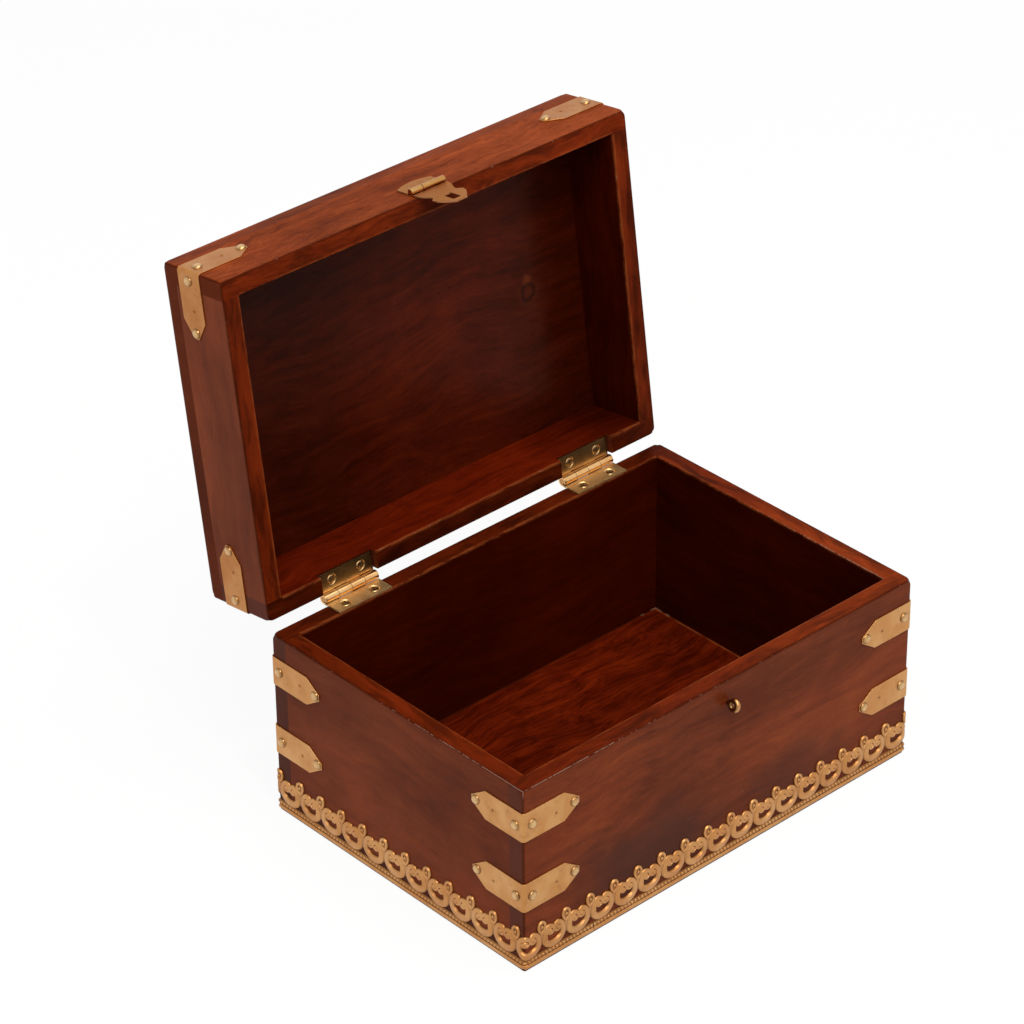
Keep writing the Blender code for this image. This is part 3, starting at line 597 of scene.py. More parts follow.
def worn_edges_and_glints(sheet, colour, colours, bend):
    """Worn varnish in patches on the inner edges, dark outer edges, and painted glints in pale specks on both.

    The painted glints are thicker towards the front left corner outside and the right end inside, and those on the
    upright corners are faint.
    """
    patchy = sheet.streaks(bend, 60.0, 420.0, 4.0, 0.7)
    inner = sheet.times(sheet.span(sheet.attribute("inner_arris"), 0.0, 0.6), sheet.span(patchy, 0.36, 0.62))
    colour = sheet.mix(sheet.times(inner, 0.55), colour, colours.wood_worn)
    outer = sheet.span(sheet.attribute("arris"), 0.30, 0.80)
    colour = sheet.mix(sheet.times(outer, 0.62), colour, colours.wood_pore)
    low, high = node_box("front_board")
    inner_right = node_box("right_board")[0][0]
    # Painted glints: pale specks on the arrises, thickest near these corners, stand in for the varnish catching
    # the light.
    glint_corners = {"arris": (low[0], low[1], high[2]), "inner_arris": (inner_right, high[1], high[2])}
    upper = sheet.span(sheet.axes()[2], high[2] - 0.006, high[2] - 0.002, 0.12, 1.0)
    glint_noise = sheet.noise(sheet.place(), 380.0, 4.0, 0.75)
    for edge, corner in glint_corners.items():
        brighter = sheet.span(sheet.distance(sheet.place(), corner), 0.12, 0.0, 0.0, 0.20)
        glint = sheet.span(sheet.plus(glint_noise, brighter), 0.58, 0.70, 0.0, 0.42)
        glint = sheet.times(sheet.span(sheet.attribute(edge), 0.72, 0.95), glint)
        colour = sheet.mix(sheet.times(glint, upper), colour, colours.wood_scratch_and_glint)
    return colour


def glue_lines(sheet, colour, colours):
    """Dark joint round the floor, a thin line of glue on the right, and a few specks at the back corner."""
    back, right = node_box("back_board")[0][1], node_box("right_board")[0][0]
    corner = (right, back, node_box("base_panel")[1][2])
    x, y, _ = sheet.axes()
    joint = sheet.math(
        "MAXIMUM", sheet.span(y, back - 0.0016, back - 0.0006), sheet.span(x, right - 0.0012, right - 0.0005)
    )
    colour = sheet.mix(sheet.times(joint, 0.8), colour, colours.wood_pore)
    broken = sheet.noise(sheet.place(), 130.0, 3.0, 0.6)
    line = sheet.times(
        sheet.span(x, right - 0.0020, right - 0.0013), sheet.span(x, right - 0.0005, right - 0.0009)
    )
    line = sheet.times(line, sheet.span(broken, 0.40, 0.56, 0.1, 0.75))
    colour = sheet.mix(line, colour, colours.wood_worn)
    near = sheet.span(sheet.distance(sheet.place(), corner), 0.030, 0.002, 0.0, 0.22)
    speck = sheet.span(sheet.plus(broken, near), 0.70, 0.75, 0.0, 0.42)
    return sheet.mix(sheet.times(joint, speck), colour, colours.glue)


def rubbed_rim(sheet, colour, _colours):
    """Rims of the box, lighter and browner towards its front right corner."""
    brighter = (1.75, 2.10, 2.00)
    x, y, _ = sheet.axes()
    near = sheet.times(sheet.span(x, -0.02, 0.09), sheet.span(y, 0.05, -0.05))
    return sheet.mix(sheet.times(near, sheet.attribute("rim")), colour, sheet.shaded(colour, brighter))


def painted_shade_end(sheet, colour, _colours):
    """Painted shade: the inside of the lid's back rail, darker towards its right end."""
    end_shade = sheet.grey(sheet.span(sheet.axes()[0], 0.05, 0.11, 1.0, 0.42))
    return sheet.mix(sheet.attribute("inside"), colour, sheet.shaded(colour, end_shade))


def knot_and_lit_middle(sheet, colour, colours):
    """Small dark knot with a ring round it and a paler patch over it, on the inside of the lid's panel.

    Painted light and shade: the panel is a little lighter in its middle than at its two ends, as light falls on
    it.
    """
    knot_x, knot_y = 0.081, 0.002
    place = open_lid(np.array([[knot_x, knot_y, node_box("lid_top_panel")[0][2]]]))[0]
    patch = place + [0.0, 0.001, 0.0058]
    # Painted light and shade across the panel, lightest in its middle.
    middle = sheet.math("ABSOLUTE", sheet.math("SUBTRACT", sheet.axes()[0], 0.02))
    colour = sheet.shaded(colour, sheet.grey(sheet.span(middle, 0.088, 0.02, 0.68, 1.30)))
    wobble = sheet.math("MULTIPLY_ADD", sheet.noise(sheet.place(), 240.0, 3.0), 0.0050, -0.0025)
    reach, over = [sheet.plus(sheet.distance(sheet.place(), spot), wobble) for spot in (place, patch)]
    colour = sheet.mix(sheet.span(over, 0.0040, 0.0012, 0.0, 0.65), colour, colours.wood_mid)
    colour = sheet.mix(sheet.span(reach, 0.0085, 0.0050, 0.0, 0.40), colour, colours.wood_dark)
    ring = sheet.times(sheet.span(reach, 0.0020, 0.0036), sheet.span(reach, 0.0060, 0.0043))
    return sheet.mix(sheet.times(ring, 0.66), colour, colours.wood_knot)


def worn_front(sheet, colour, colours):
    """Dark clouds low on the front, and a few fine pale scratches and specks across it."""
    clouds = ((-0.048, 0.024, 0.070, 0.86), (0.052, 0.024, 0.045, 0.50))
    scratches = ((0.5, 0.0), (-0.9, 3.0))
    flatter = 1.7
    front = node_box("front_board")[0][1]
    place = sheet.place()
    drift = sheet.drift(place, Scale=26.0, Detail=4.0)
    centred = sheet.vector("ADD", place, (-0.035, 0.0, -0.025))
    moved = sheet.vector("MULTIPLY_ADD", drift, (0.07, 0.0, 0.05), centred)
    for x, z, reach, share in clouds:
        low = sheet.distance(sheet.mapped(moved, (1.0, 1.0, flatter)), (x, front, flatter * z))
        colour = sheet.mix(sheet.span(low, reach, 0.012, 0.0, share), colour, colours.wood_cloud)
    for turn, seed in scratches:
        stroke = sheet.vector("ADD", place, (seed, 0.0, seed))
        stroke = sheet.mapped(stroke, (150.0, 1.0, 1700.0), (0.0, turn, 0.0))
        stroke = sheet.span(sheet.noise(stroke, 1.0, 1.0, 0.4), 0.775, 0.83, 0.0, 0.24)
        colour = sheet.mix(stroke, colour, colours.wood_scratch_and_glint)
    specks = sheet.noise(place, 420.0, 1.0, 0.4)
    return sheet.mix(sheet.span(specks, 0.80, 0.85, 0.0, 0.30), colour, colours.wood_scratch_and_glint)


MARKS = {"base_panel": glue_lines, "lid_top_panel": knot_and_lit_middle, "front_board": worn_front, "lid_back_rail": painted_shade_end}
WHITE = (1.0, 1.0, 1.0)


def sheet_brass(name, colours, tarnish_and_shade, tint=WHITE, rough=(0.32, 0.50), aged=1.0, low_angle=WHITE):
    """Rolled brass: rubbed pale on high places, dull in recesses and where shade is painted, with fine scratches
    along the sheet.

    The share of dull colour where the relief is lowest is tarnish in recesses and painted shade elsewhere, and the
    tint changes the whole sheet.
    aged is the strength of its stains and dents, and low_angle the colour of its reflections at a low angle.
    """
    sheet = NodeSheet(bpy.data.materials.new(name))
    place = sheet.place()
    mottle = sheet.noise(place, 140.0, 5.0, 0.65, 0.3)
    cloud = sheet.noise(place, 60.0, 3.0, 0.6)
    spots = sheet.noise(place, 420.0, 3.0, 0.6)
    colour = sheet.mix(sheet.span(cloud, 0.36, 0.64), colours.brass, colours.brass_pale)
    stain = sheet.times(sheet.span(mottle, 0.50, 0.72), sheet.span(spots, 0.42, 0.62))
    colour = sheet.mix(sheet.times(stain, 0.35 * aged), colour, colours.brass_tarnish_and_shade)
    # Dull where the relief is low: tarnish in recesses, and painted shade where a piece lowers its relief for
    # shade.
    dull = sheet.span(sheet.attribute("relief"), 0.10, 0.88, tarnish_and_shade, 0.0)
    colour = sheet.mix(dull, colour, colours.brass_tarnish_and_shade)
    colour = sheet.shaded(colour, tint)
    scratch = sheet.streaks(sheet.attribute("grain", "Vector"), 60.0, 3600.0, 3.0, 0.6)
    rough = sheet.span(sheet.plus(mottle, sheet.times(scratch, 0.5)), 0.45, 1.05, *rough)
    dents = sheet.plus(sheet.times(scratch, 0.35), cloud)
    sheet.set(Base_Color=colour, Roughness=rough, Normal=sheet.bump(dents, 0.14 * aged, 0.0003))
    sheet.set(Metallic=1.0, Specular_Tint=low_angle)
    return sheet.owner


def plain_brass(name, colours, pale, dark=None, shares=()):
    """Drawn or turned brass, a little dull, for pins, nails, screws and the eye.

    dark, where given, is the colour of places whose relief is low, such as a screw's cross. Its shares
    are those where the relief is low and where it is high.
    """
    sheet = NodeSheet(bpy.data.materials.new(name))
    place = sheet.place()
    mottle = sheet.noise(place, 260.0, 4.0, 0.65)
    wipe = sheet.noise(place, 900.0, 2.0, 0.5)
    colour = sheet.mix(sheet.span(mottle, 0.40, 0.70, 0.0, 0.6), getattr(colours, pale), colours.brass)
    colour = sheet.mix(sheet.span(wipe, 0.56, 0.72, 0.0, 0.35), colour, colours.brass_tarnish_and_shade)
    if dark:
        share = sheet.span(sheet.attribute("relief"), 0.2, 0.95, *shares)
        colour = sheet.mix(share, colour, getattr(colours, dark))
    rough = sheet.span(mottle, 0.3, 0.7, 0.20, 0.36)
    sheet.set(Base_Color=colour, Roughness=rough, Normal=sheet.bump(wipe, 0.08, 0.0002), Metallic=1.0)
    return sheet.owner


def wood(name, colours, *finish):
    """The varnished wood of that name, made the first time that it is asked for."""
    return bpy.data.materials.get(name) or varnished_wood(name, colours, *finish)


def brass(name, colours):
    """The brass of that name, made the first time that it is asked for."""
    made = bpy.data.materials.get(name)
    if made:
        return made
    if name in SHEET_BRASS:
        return sheet_brass(name, colours, **SHEET_BRASS[name])
    return plain_brass(name, colours, *PLAIN_BRASS[name])


EASY_LINES = np.array([0.0018, 0.0035, 0.0065])
LONG_SIDE = 0.03
ON_LINE = 1e-7
WORN_PUSH = 0.22
MORTISE_GAP = 0.0008
LIMIT_STEP = 0.0003
GRAIN_SHIFT = np.array([0.61, 0.23, 0.17])


def spread(length, steps):
    """Distances from an edge at which a block gets a line: evenly round each radius, then further apart."""
    rounds = [radius * (1.0 - np.tan(np.radians([45.0, 30.0, 15.0, 0.0]))) for radius in steps]
    lines = np.unique(np.round(np.concatenate([*rounds, EASY_LINES]), 7))
    return lines[lines < length / 2.0]


def block_lines(low, high, steps, extra):
    """Lines of a lattice between two faces, close together near both, and at each extra place."""
    near = spread(high - low, steps)
    middle = np.linspace(low, high, 9)[1:-1] if high - low > LONG_SIDE else [(low + high) / 2.0]
    return np.unique(np.round(np.concatenate([low + near, high - near, middle, extra]), 7))


def depth_below(points, low, high, face):
    """Depth of points below a block's face, such as x- or z+."""
    axis = "xyz".index(face[0])
    return points[:, axis] - low[axis] if face[1] == "-" else high[axis] - points[:, axis]


def inward_of(face):
    """Step into a block from one of its upright faces."""
    step = np.zeros(2)
    step["xy".index(face[0])] = 1.0 if face[1] == "-" else -1.0
    return step


def square_to_round(first, second):
    """Moves places in a square's corner on to arcs, so that the square's two far sides become one arc."""
    reach = np.hypot(first, second)
    share = np.maximum(first, second) / np.where(reach > 0.0, reach, 1.0)
    return np.stack([first * share, second * share])


def ease_block(points, low, high, level, sides, corners, radii, limits, inner):
    """Rounds a block's upright corners, and eases the edges between some sides and one level.

    A corner's square turns into a quarter disc in plan. Then each point's depth from the plan's outline and
    from the level turns the same way into a quarter disc, along the outline's own normal. A side with limits
    is eased only between them. Where an upright corner meets the level, it is pushed in along all three axes,
    by the square of the nearness. Returns the points, and how near each is to an eased outer and inner edge.
    """
    arris, corner, worn = radii
    moved = points.copy()
    outline = np.full(len(points), np.inf)
    inward = np.zeros((len(points), 2))
    near = {False: outline.copy(), True: outline.copy()}
    down = depth_below(points, low, high, level)
    lift = 1.0 if level[1] == "-" else -1.0
    pairs = [(pair[:2], pair[2:]) for pair in corners.split()]
    for side in sides.split():
        depth = depth_below(points, low, high, side)
        if side in limits:
            start, end = limits[side]
            beyond = (points[:, 0] <= start + ON_LINE) | (points[:, 0] >= end - ON_LINE)
            depth = np.where(beyond, np.inf, depth)
        inward[depth < outline] = inward_of(side)
        outline = np.minimum(outline, depth)
        near[side == inner] = np.minimum(near[side == inner], np.maximum(depth, down))
    for faces in pairs:
        first, second = [depth_below(points, low, high, face) for face in faces]
        near[False] = np.minimum(near[False], np.maximum(first, second))
        inside = (first < corner) & (second < corner)
        away = np.stack([corner - first[inside], corner - second[inside]])
        rounded = square_to_round(*away)
        steps = np.stack([inward_of(face) for face in faces])
        moved[inside, :2] += (away - rounded).T @ steps
        inward[inside] = (rounded / np.hypot(*rounded)).T @ steps
    inside = (outline < arris) & (down < arris)
    away = np.stack([arris - outline[inside], arris - down[inside]])
    out_move, down_move = away - square_to_round(*away)
    moved[inside, :2] += inward[inside] * out_move[:, None]
    moved[inside, 2] += lift * down_move
    for faces in pairs if worn > 0.0 else ():
        far = np.max([depth_below(points, low, high, face) for face in (*faces, level)], axis=0)
        push = WORN_PUSH * worn * ramp(far, worn, 0.0) ** 2
        moved[:, :2] += push[:, None] * (inward_of(faces[0]) + inward_of(faces[1]))
        moved[:, 2] += lift * push
    return moved, near[False], near[True]


def hinge_mortises(owner, sizes):
    """Ends of the two hinges' mortises along X, and the level of their floors, for the box or the lid."""
    boxes = [node_box(f"{side}_hinge_{owner}_leaf") for side in SIDES]
    ends = [(low[0] - MORTISE_GAP, high[0] + MORTISE_GAP) for low, high in boxes]
    floor = boxes[0][0][2] - sizes.seat if owner == "box" else boxes[0][1][2] + sizes.seat
    return ends, floor


def board_radii(node, sizes):
    """Radius of a board's eased edges and of its upright corners, and the reach of its worn corners."""
    arris = {"lid_top_panel": sizes.lid_arris, "base_panel": sizes.foot_arris}.get(node, sizes.arris)
    return arris, sizes.corner, 0.0 if node == "base_panel" else sizes.worn_corner


def reach_to_joints(node, low, high):
    """Corners of a board's block, carried over the fitting gap to the boards that it is glued to."""
    if "panel" in node:
        return low, high
    gap = node_box("front_board")[0][2] - node_box("base_panel")[1][2]
    grain_axis, _, level = BOARDS[node][:3]
    ends = np.array([0.0, gap if grain_axis == "y" else 0.0, gap])
    foot, head = ends.copy(), ends.copy()
    (foot if level == "z-" else head)[2] = 0.0
    return low - foot, high + head


def make_board(node, sizes, material, rim_material):
    """Board over its solid: a block's skin with eased edges, cut for the hinges where they are let in.

    Grain is the place in the board with its first value along the grain. The two arris values are 1 on an eased
    outer or inner edge, and fall to 0 at the reach of the wear and of the painted glints.
    """
    grain_axis, inside, level, sides, corners = BOARDS[node]
    tone, inner_painted_light, rim_tone, tint, figure = LOOKS[node]
    low, high = reach_to_joints(node, *node_box(node))
    extra = [[], [], []]
    cuts, limits = [], {}
    if node in HINGED_BOARDS:
        owner = HINGED_BOARDS[node]
        cuts, floor = hinge_mortises(owner, sizes)
        extra = [np.ravel(cuts), [], [floor]]
    if node in BETWEEN:
        left, right = BETWEEN[node]
        limits = {inside: (node_box(left)[1][0], node_box(right)[0][0])}
        ends = [(end, end - LIMIT_STEP * np.sign(end)) for end in limits[inside]]
        extra[0] = np.concatenate([extra[0], *ends])
    radii = board_radii(node, sizes)
    lines = [block_lines(low[axis], high[axis], radii, extra[axis]) for axis in range(3)]
    middles = [cell_middles(line) for line in lines]
    keep = np.ones([len(middle) for middle in middles], bool)
    for start, end in cuts:
        open_x = (middles[0] > start) & (middles[0] < end)
        open_z = middles[2] > floor if owner == "box" else middles[2] < floor
        keep &= ~(open_x[:, None, None] & open_z[None, None, :])
    points, quads, axes, ways = lattice_skin(lines, keep)
    moved, near, near_inside = ease_block(points, low, high, level, sides, corners, radii, limits, inside)
    along = "xyz".index(grain_axis)
    order = [along] + [axis for axis in (0, 2, 1) if axis != along]
    number = list(BOARDS).index(node)
    is_inside, is_level = [
        (axes == "xyz".index(face[0])) & (ways == (1 if face[1] == "+" else -1)) for face in (inside, level)
    ]
    is_rim = is_level & ("panel" not in node)
    values = {
        "grain": (points - (low + high) / 2.0)[:, order] + GRAIN_SHIFT * number,
        "arris": ramp(near, sizes.wear_and_glint, 0.0),
        "inner_arris": ramp(near_inside, sizes.wear_and_glint, 0.0),
        "figure": np.full(len(points), figure),
        # The inner faces' tone and their share of the inner tint are painted light and shade.
        "tone": np.where(is_inside, inner_painted_light, np.where(is_rim, rim_tone, tone)),
        "end_grain": (axes == along).astype(float),
        "inside": is_inside * tint,
        "rim": is_rim.astype(float),
    }
    second = rim_material, ~is_inside if node == "lid_top_panel" else is_rim
    put_piece(node, "wood", moved, [quads], material, values, second=second)


def make_boards(context, body):
    """All boards of one body, in varnish that has their own marks and gloss."""
    sizes, colours = settings(context)
    rim = wood("rim_varnish", colours, RIM_GLOSS, rubbed_rim)
    for node in BOARDS:
        if BODY_OF[node] != body:
            continue
        name = f"{node}_varnish" if node in MARKS or node in GLOSS else "board_varnish"
        finish = GLOSS.get(node, BOARD_GLOSS), MARKS.get(node), CURL.get(node, WOOD_CURL)
        make_board(node, sizes, wood(name, colours, *finish), rim)


PUNCH_FROM_END = 0.0141
PUNCH_RADIUS, PUNCH_DEPTH = 0.00085, 0.00038
LIP_RADIUS, LIP_WIDTH, LIP_HEIGHT = 0.00125, 0.00032, 0.00010
# Width of the painted shade round each nail's head on a strap.
NAIL_SHADE_WIDTH = 0.0006
UNEVEN_HEIGHT, UNEVEN_ALONG, UNEVEN_ACROSS = 0.00003, 210.0, 320.0
# How far a strap's marks are off its middle line: all of it, and one leg against the other.
PUNCH_DRIFT, LEG_DRIFT = 0.0008, 0.0006
STRAP_PHASE = 1.7
# Dull shares: in the punched marks, in the painted shade round the nails, and on the back.
PUNCH_DULL, NAIL_SHADE_DULL, BACK_RELIEF = 0.9, 0.35, 0.6
# Lines round a place that needs close ones, those round a strap's mark, and steps along a strap.
CLOSE_LINES = np.linspace(-0.003, 0.003, 25)
PUNCH_LINES = np.linspace(-0.0021, 0.0021, 21)
STRAP_STEPS = 111
NAIL_FROM_CORNER, NAIL_FROM_END = 0.0048, 0.0029
NAIL_FOOT = (0.86, -0.0002)
NAIL_ANGLES = np.radians([0.0, 12.0, 26.0, 42.0, 58.0, 74.0, 86.0])
NAIL_POWER, NAIL_SIDES = 1.15, 20
NAIL_DRIFT, NAIL_TILT = 0.0006, 0.10
# Share of the drift for each of a strap's four nails.
NAIL_SHARES = np.array([0.3, 1.0, 1.0, 0.3])


def corner_saving(sizes):
    """How much shorter half the way round a rounded corner is than half the way round a sharp one."""
    return sizes.corner * (1.0 - np.pi / 4.0)


def strap_lines(leg, punch):
    """Places along a strap: close at the bend and at the two punched marks, further apart elsewhere."""
    rest = np.linspace(-leg, leg, STRAP_STEPS)
    lines = [CLOSE_LINES, punch + PUNCH_LINES, -punch + PUNCH_LINES, rest]
    return np.unique(np.round(np.concatenate(lines), 6))


def nail_places(leg, sizes):
    """Distances of a leg's two nails from the middle of the corner."""
    return NAIL_FROM_CORNER - corner_saving(sizes), leg - NAIL_FROM_END


def make_strap(node, sizes, material, nail_material):
    """Strap on a corner: a grid of its length and width, with tapered ends, bent round the corner.

    The front is pressed in at a small round mark on each leg, and is a little uneven, as hand-cut sheet is.
    """
    low, high = node_box(node)
    level = (low[2] + high[2]) / 2.0
    middle = corner_way(node.split("strap_")[1], sizes.corner)
    leg = sizes.strap_leg - corner_saving(sizes)
    punch = sizes.strap_leg - PUNCH_FROM_END
    way = strap_lines(leg, punch)
    tip = sizes.strap_tip / 2.0
    taper = np.clip((leg - np.abs(way)) / sizes.strap_point, 0.0, 1.0)
    half_width = tip + taper * ((high[2] - low[2]) / 2.0 - tip)
    outside = np.linspace(0.26, 1.0, 11)
    share = np.concatenate([-outside[::-1], np.linspace(-0.22, 0.22, 17), outside])
    across = half_width[:, None] * share
    along = np.broadcast_to(way[:, None], across.shape)
    phase = STRAPS.index(node) * STRAP_PHASE
    shift = PUNCH_DRIFT * np.sin(phase) + LEG_DRIFT * np.cos(2.0 * phase) * np.sign(along)
    reach = np.hypot(np.abs(along) - punch, across - shift)
    pressed = bell(reach, 0.0, PUNCH_RADIUS)
    lip = bell(reach, LIP_RADIUS, LIP_WIDTH)
    nailed = np.min([np.hypot(np.abs(along) - place, across) for place in nail_places(leg, sizes)], axis=0)
    # Painted shade: a dark ring on the strap round each nail's head.
    nail_shade = bell(nailed, sizes.nail_radius, NAIL_SHADE_WIDTH)
    uneven = np.sin(along * UNEVEN_ALONG + phase) * np.cos(across * UNEVEN_ACROSS + 0.6 * phase)
    top = sizes.seat + sizes.strap_thickness
    depth = top - PUNCH_DEPTH * pressed + LIP_HEIGHT * lip + UNEVEN_HEIGHT * uneven
    front, back = [
        wrap_round_box(stacked(middle + along, off, level + across), sizes.corner)
        for off in (depth, sizes.seat)
    ]
    points, faces = sheet_shell(front, back, np.ones((len(way) - 1, len(share) - 1), bool))
    flat = stacked(across, along, 0.0).reshape(-1, 3)
    relief = np.ravel(1.0 - PUNCH_DULL * pressed - NAIL_SHADE_DULL * nail_shade)
    values = {
        "grain": np.concatenate([flat, flat]) + phase,
        "relief": np.concatenate([relief, np.full(relief.size, BACK_RELIEF)]),
    }
    put_piece(node, "sheet", points, faces, material, values, sizes.sheet_edge)
    make_nails(node, middle, leg, level, sizes, nail_material)


def make_nails(node, middle, leg, level, sizes, material):
    """Four dome nails on a strap: an ellipse's quarter turned about its axis, each a little tilted."""
    dome = stacked(np.cos(NAIL_ANGLES), np.sin(NAIL_ANGLES) ** NAIL_POWER)
    dome = dome * [sizes.nail_radius, sizes.nail_height]
    foot = [[sizes.nail_radius * NAIL_FOOT[0], NAIL_FOOT[1]]]
    shape, faces = turned(np.concatenate([foot, dome]), NAIL_SIDES)
    near, far = nail_places(leg, sizes)
    ways = np.array([-far, -near, near, far])
    numbers, seed = np.arange(4), STRAPS.index(node)
    drift = NAIL_DRIFT * np.sin(numbers * 2.3 + seed * 1.1) * NAIL_SHARES
    tilt = NAIL_TILT * np.cos(numbers * 1.9 + seed * 0.7)
    shifts = stacked(middle + ways, sizes.seat + sizes.strap_thickness, level + drift)
    flat, faces = repeat_shape((shape[:, [0, 2, 1]], faces), shifts)
    flat[:, 1] += np.repeat(tilt, len(shape)) * np.tile(shape[:, 0], 4)
    # Painted shade: the relief darkens each head's sides towards its foot and leaves its crown pale.
    relief = np.tile(np.clip(shape[:, 2] / sizes.nail_height, 0.0, 1.0), 4)
    put_piece(node, "nails", wrap_round_box(flat, sizes.corner), faces, material, {"relief": relief})


# The trim's motif is drawn in its own units, and these are its pitch and height in them.
MOTIF_PITCH, MOTIF_HEIGHT = 15.05, 22.7
TRIM_PITCH = 0.0151
SEAM_FINIAL, SEAM_STEP, SEAM_GAP = 0.0092, 0.0018, 0.00015
BEADS_PER_RING, RUN_STEPS_PER_RING = 7, 8
BEAD_LIFT, BEAD_RISE = 0.2, 0.72
SCROLL_EYE = (2.35, 14.5)
BAND_LEVEL, BEAD_LEVEL = 1.15, 3.5
STRIP_HALF, STRIP_RISE = 1.45, 0.50


def sweep_rib(path, half_width, height, ridge=0.0):
    """Rounded rib along a flat path (way round, height), as points (way round, off the wood, height).

    Across the path the rib is a flattened arch, and a ridge adds a narrow swell along its left-hand side.
    """
    share = np.array([-1.0, -0.88, -0.55, 0.0, 0.34, 0.6, 0.88, 1.0])
    rise = 0.94 * (1.0 - np.abs(share) ** 3.0) ** 0.6 + ridge * bell(share, 0.58, 0.22)
    rise[..., [0, -1]] = 0.0
    half_width, height = [np.broadcast_to(value, len(path))[:, None] for value in (half_width, height)]
    tangent = np.gradient(path, axis=0)
    tangent /= np.linalg.norm(tangent, axis=1, keepdims=True)
    left = stacked(-tangent[:, 1], tangent[:, 0])
    flat = path[:, None] + left[:, None] * (half_width * share)[..., None]
    return stacked(flat[..., 0], height * rise, flat[..., 1])


def stamped_dome(profile, scale, sides, lift=0.0):
    """Dome on the strip: a profile of (radius, rise) turned about the way off the wood."""
    points, faces = turned(np.array(profile) * scale, sides)
    return points[:, [0, 2, 1]] + lift, faces


def trim_ring(share):
    """Right half of a ring: from its foot round its side, over its shoulder and in to its scroll's eye.

    Two quarter ellipses that meet upright are followed by a spiral that narrows as it turns. share scales
    the motif to the trim's pitch and height. Returns the path, the rib's half width and its ridge's height.
    """
    side, eye = 5.75, SCROLL_EYE[0]
    foot, belly, shoulder, scroll = 6.6, 11.4, 17.0, SCROLL_EYE[1]
    quarter = np.linspace(0.0, np.pi / 2.0, 10)
    lower = stacked(side * np.sin(quarter), belly - (belly - foot) * np.cos(quarter))
    upper = stacked(eye + (side - eye) * np.cos(quarter), belly + (shoulder - belly) * np.sin(quarter))
    turn = np.linspace(0.0, np.radians(300.0), 14)
    radius = (shoulder - scroll) * (1.0 - 0.55 * turn / turn[-1])
    spiral = stacked(eye - radius * np.sin(turn), scroll + radius * np.cos(turn))
    path = np.concatenate([lower, upper[1:], spiral[1:]])
    width = np.concatenate([np.linspace(2.3, 1.85, 10), np.linspace(1.8, 1.35, 9), np.linspace(1.3, 0.7, 13)])
    ridge = np.concatenate([np.full(19, 0.30), np.linspace(0.30, 0.1, 13)])
    return path * share, width * share[0], ridge[:, None]


def trim_finial(share, relief):
    """Drop-shaped finial: a closed rib round a drop, a bead in its middle, and a low web down to the rings.

    The drop's half width is a sine of the turn times a power of the half turn's sine, so its foot is a point.
    """
    widest, peak, middle, half_height = 2.0, 0.92, 18.8, 3.0
    rib_half, bead_level = 0.88, 19.2
    turn = turns(26)
    half = widest / peak * np.sin(turn) * np.abs(np.sin(turn / 2.0)) ** 0.3
    drop = stacked(half, middle - half_height * np.cos(turn)) * share
    cycled = np.concatenate([drop[-2:], drop, drop[:2]])
    rib = sweep_rib(cycled, rib_half * share[0], relief)[2:-2]
    profile = [[0.86, 0.0], [0.80, 0.7], [0.45, 1.05]]
    bead = stamped_dome(profile, [share[0], relief], 10, [0.0, 0.0, bead_level * share[1]])
    web_path = stacked(0.0, np.linspace(9.0, 21.2, 8)) * share
    web_width = np.array([0.6, 1.1, 1.35, 1.4, 1.6, 1.9, 1.9, 1.3]) * share[0]
    web_rise = np.array([0.3, 0.5, 0.66, 0.72, 0.62, 0.40, 0.40, 0.40]) * relief
    return join_shapes([tube(rib, closed=True), bead, tube(sweep_rib(web_path, web_width, web_rise))])


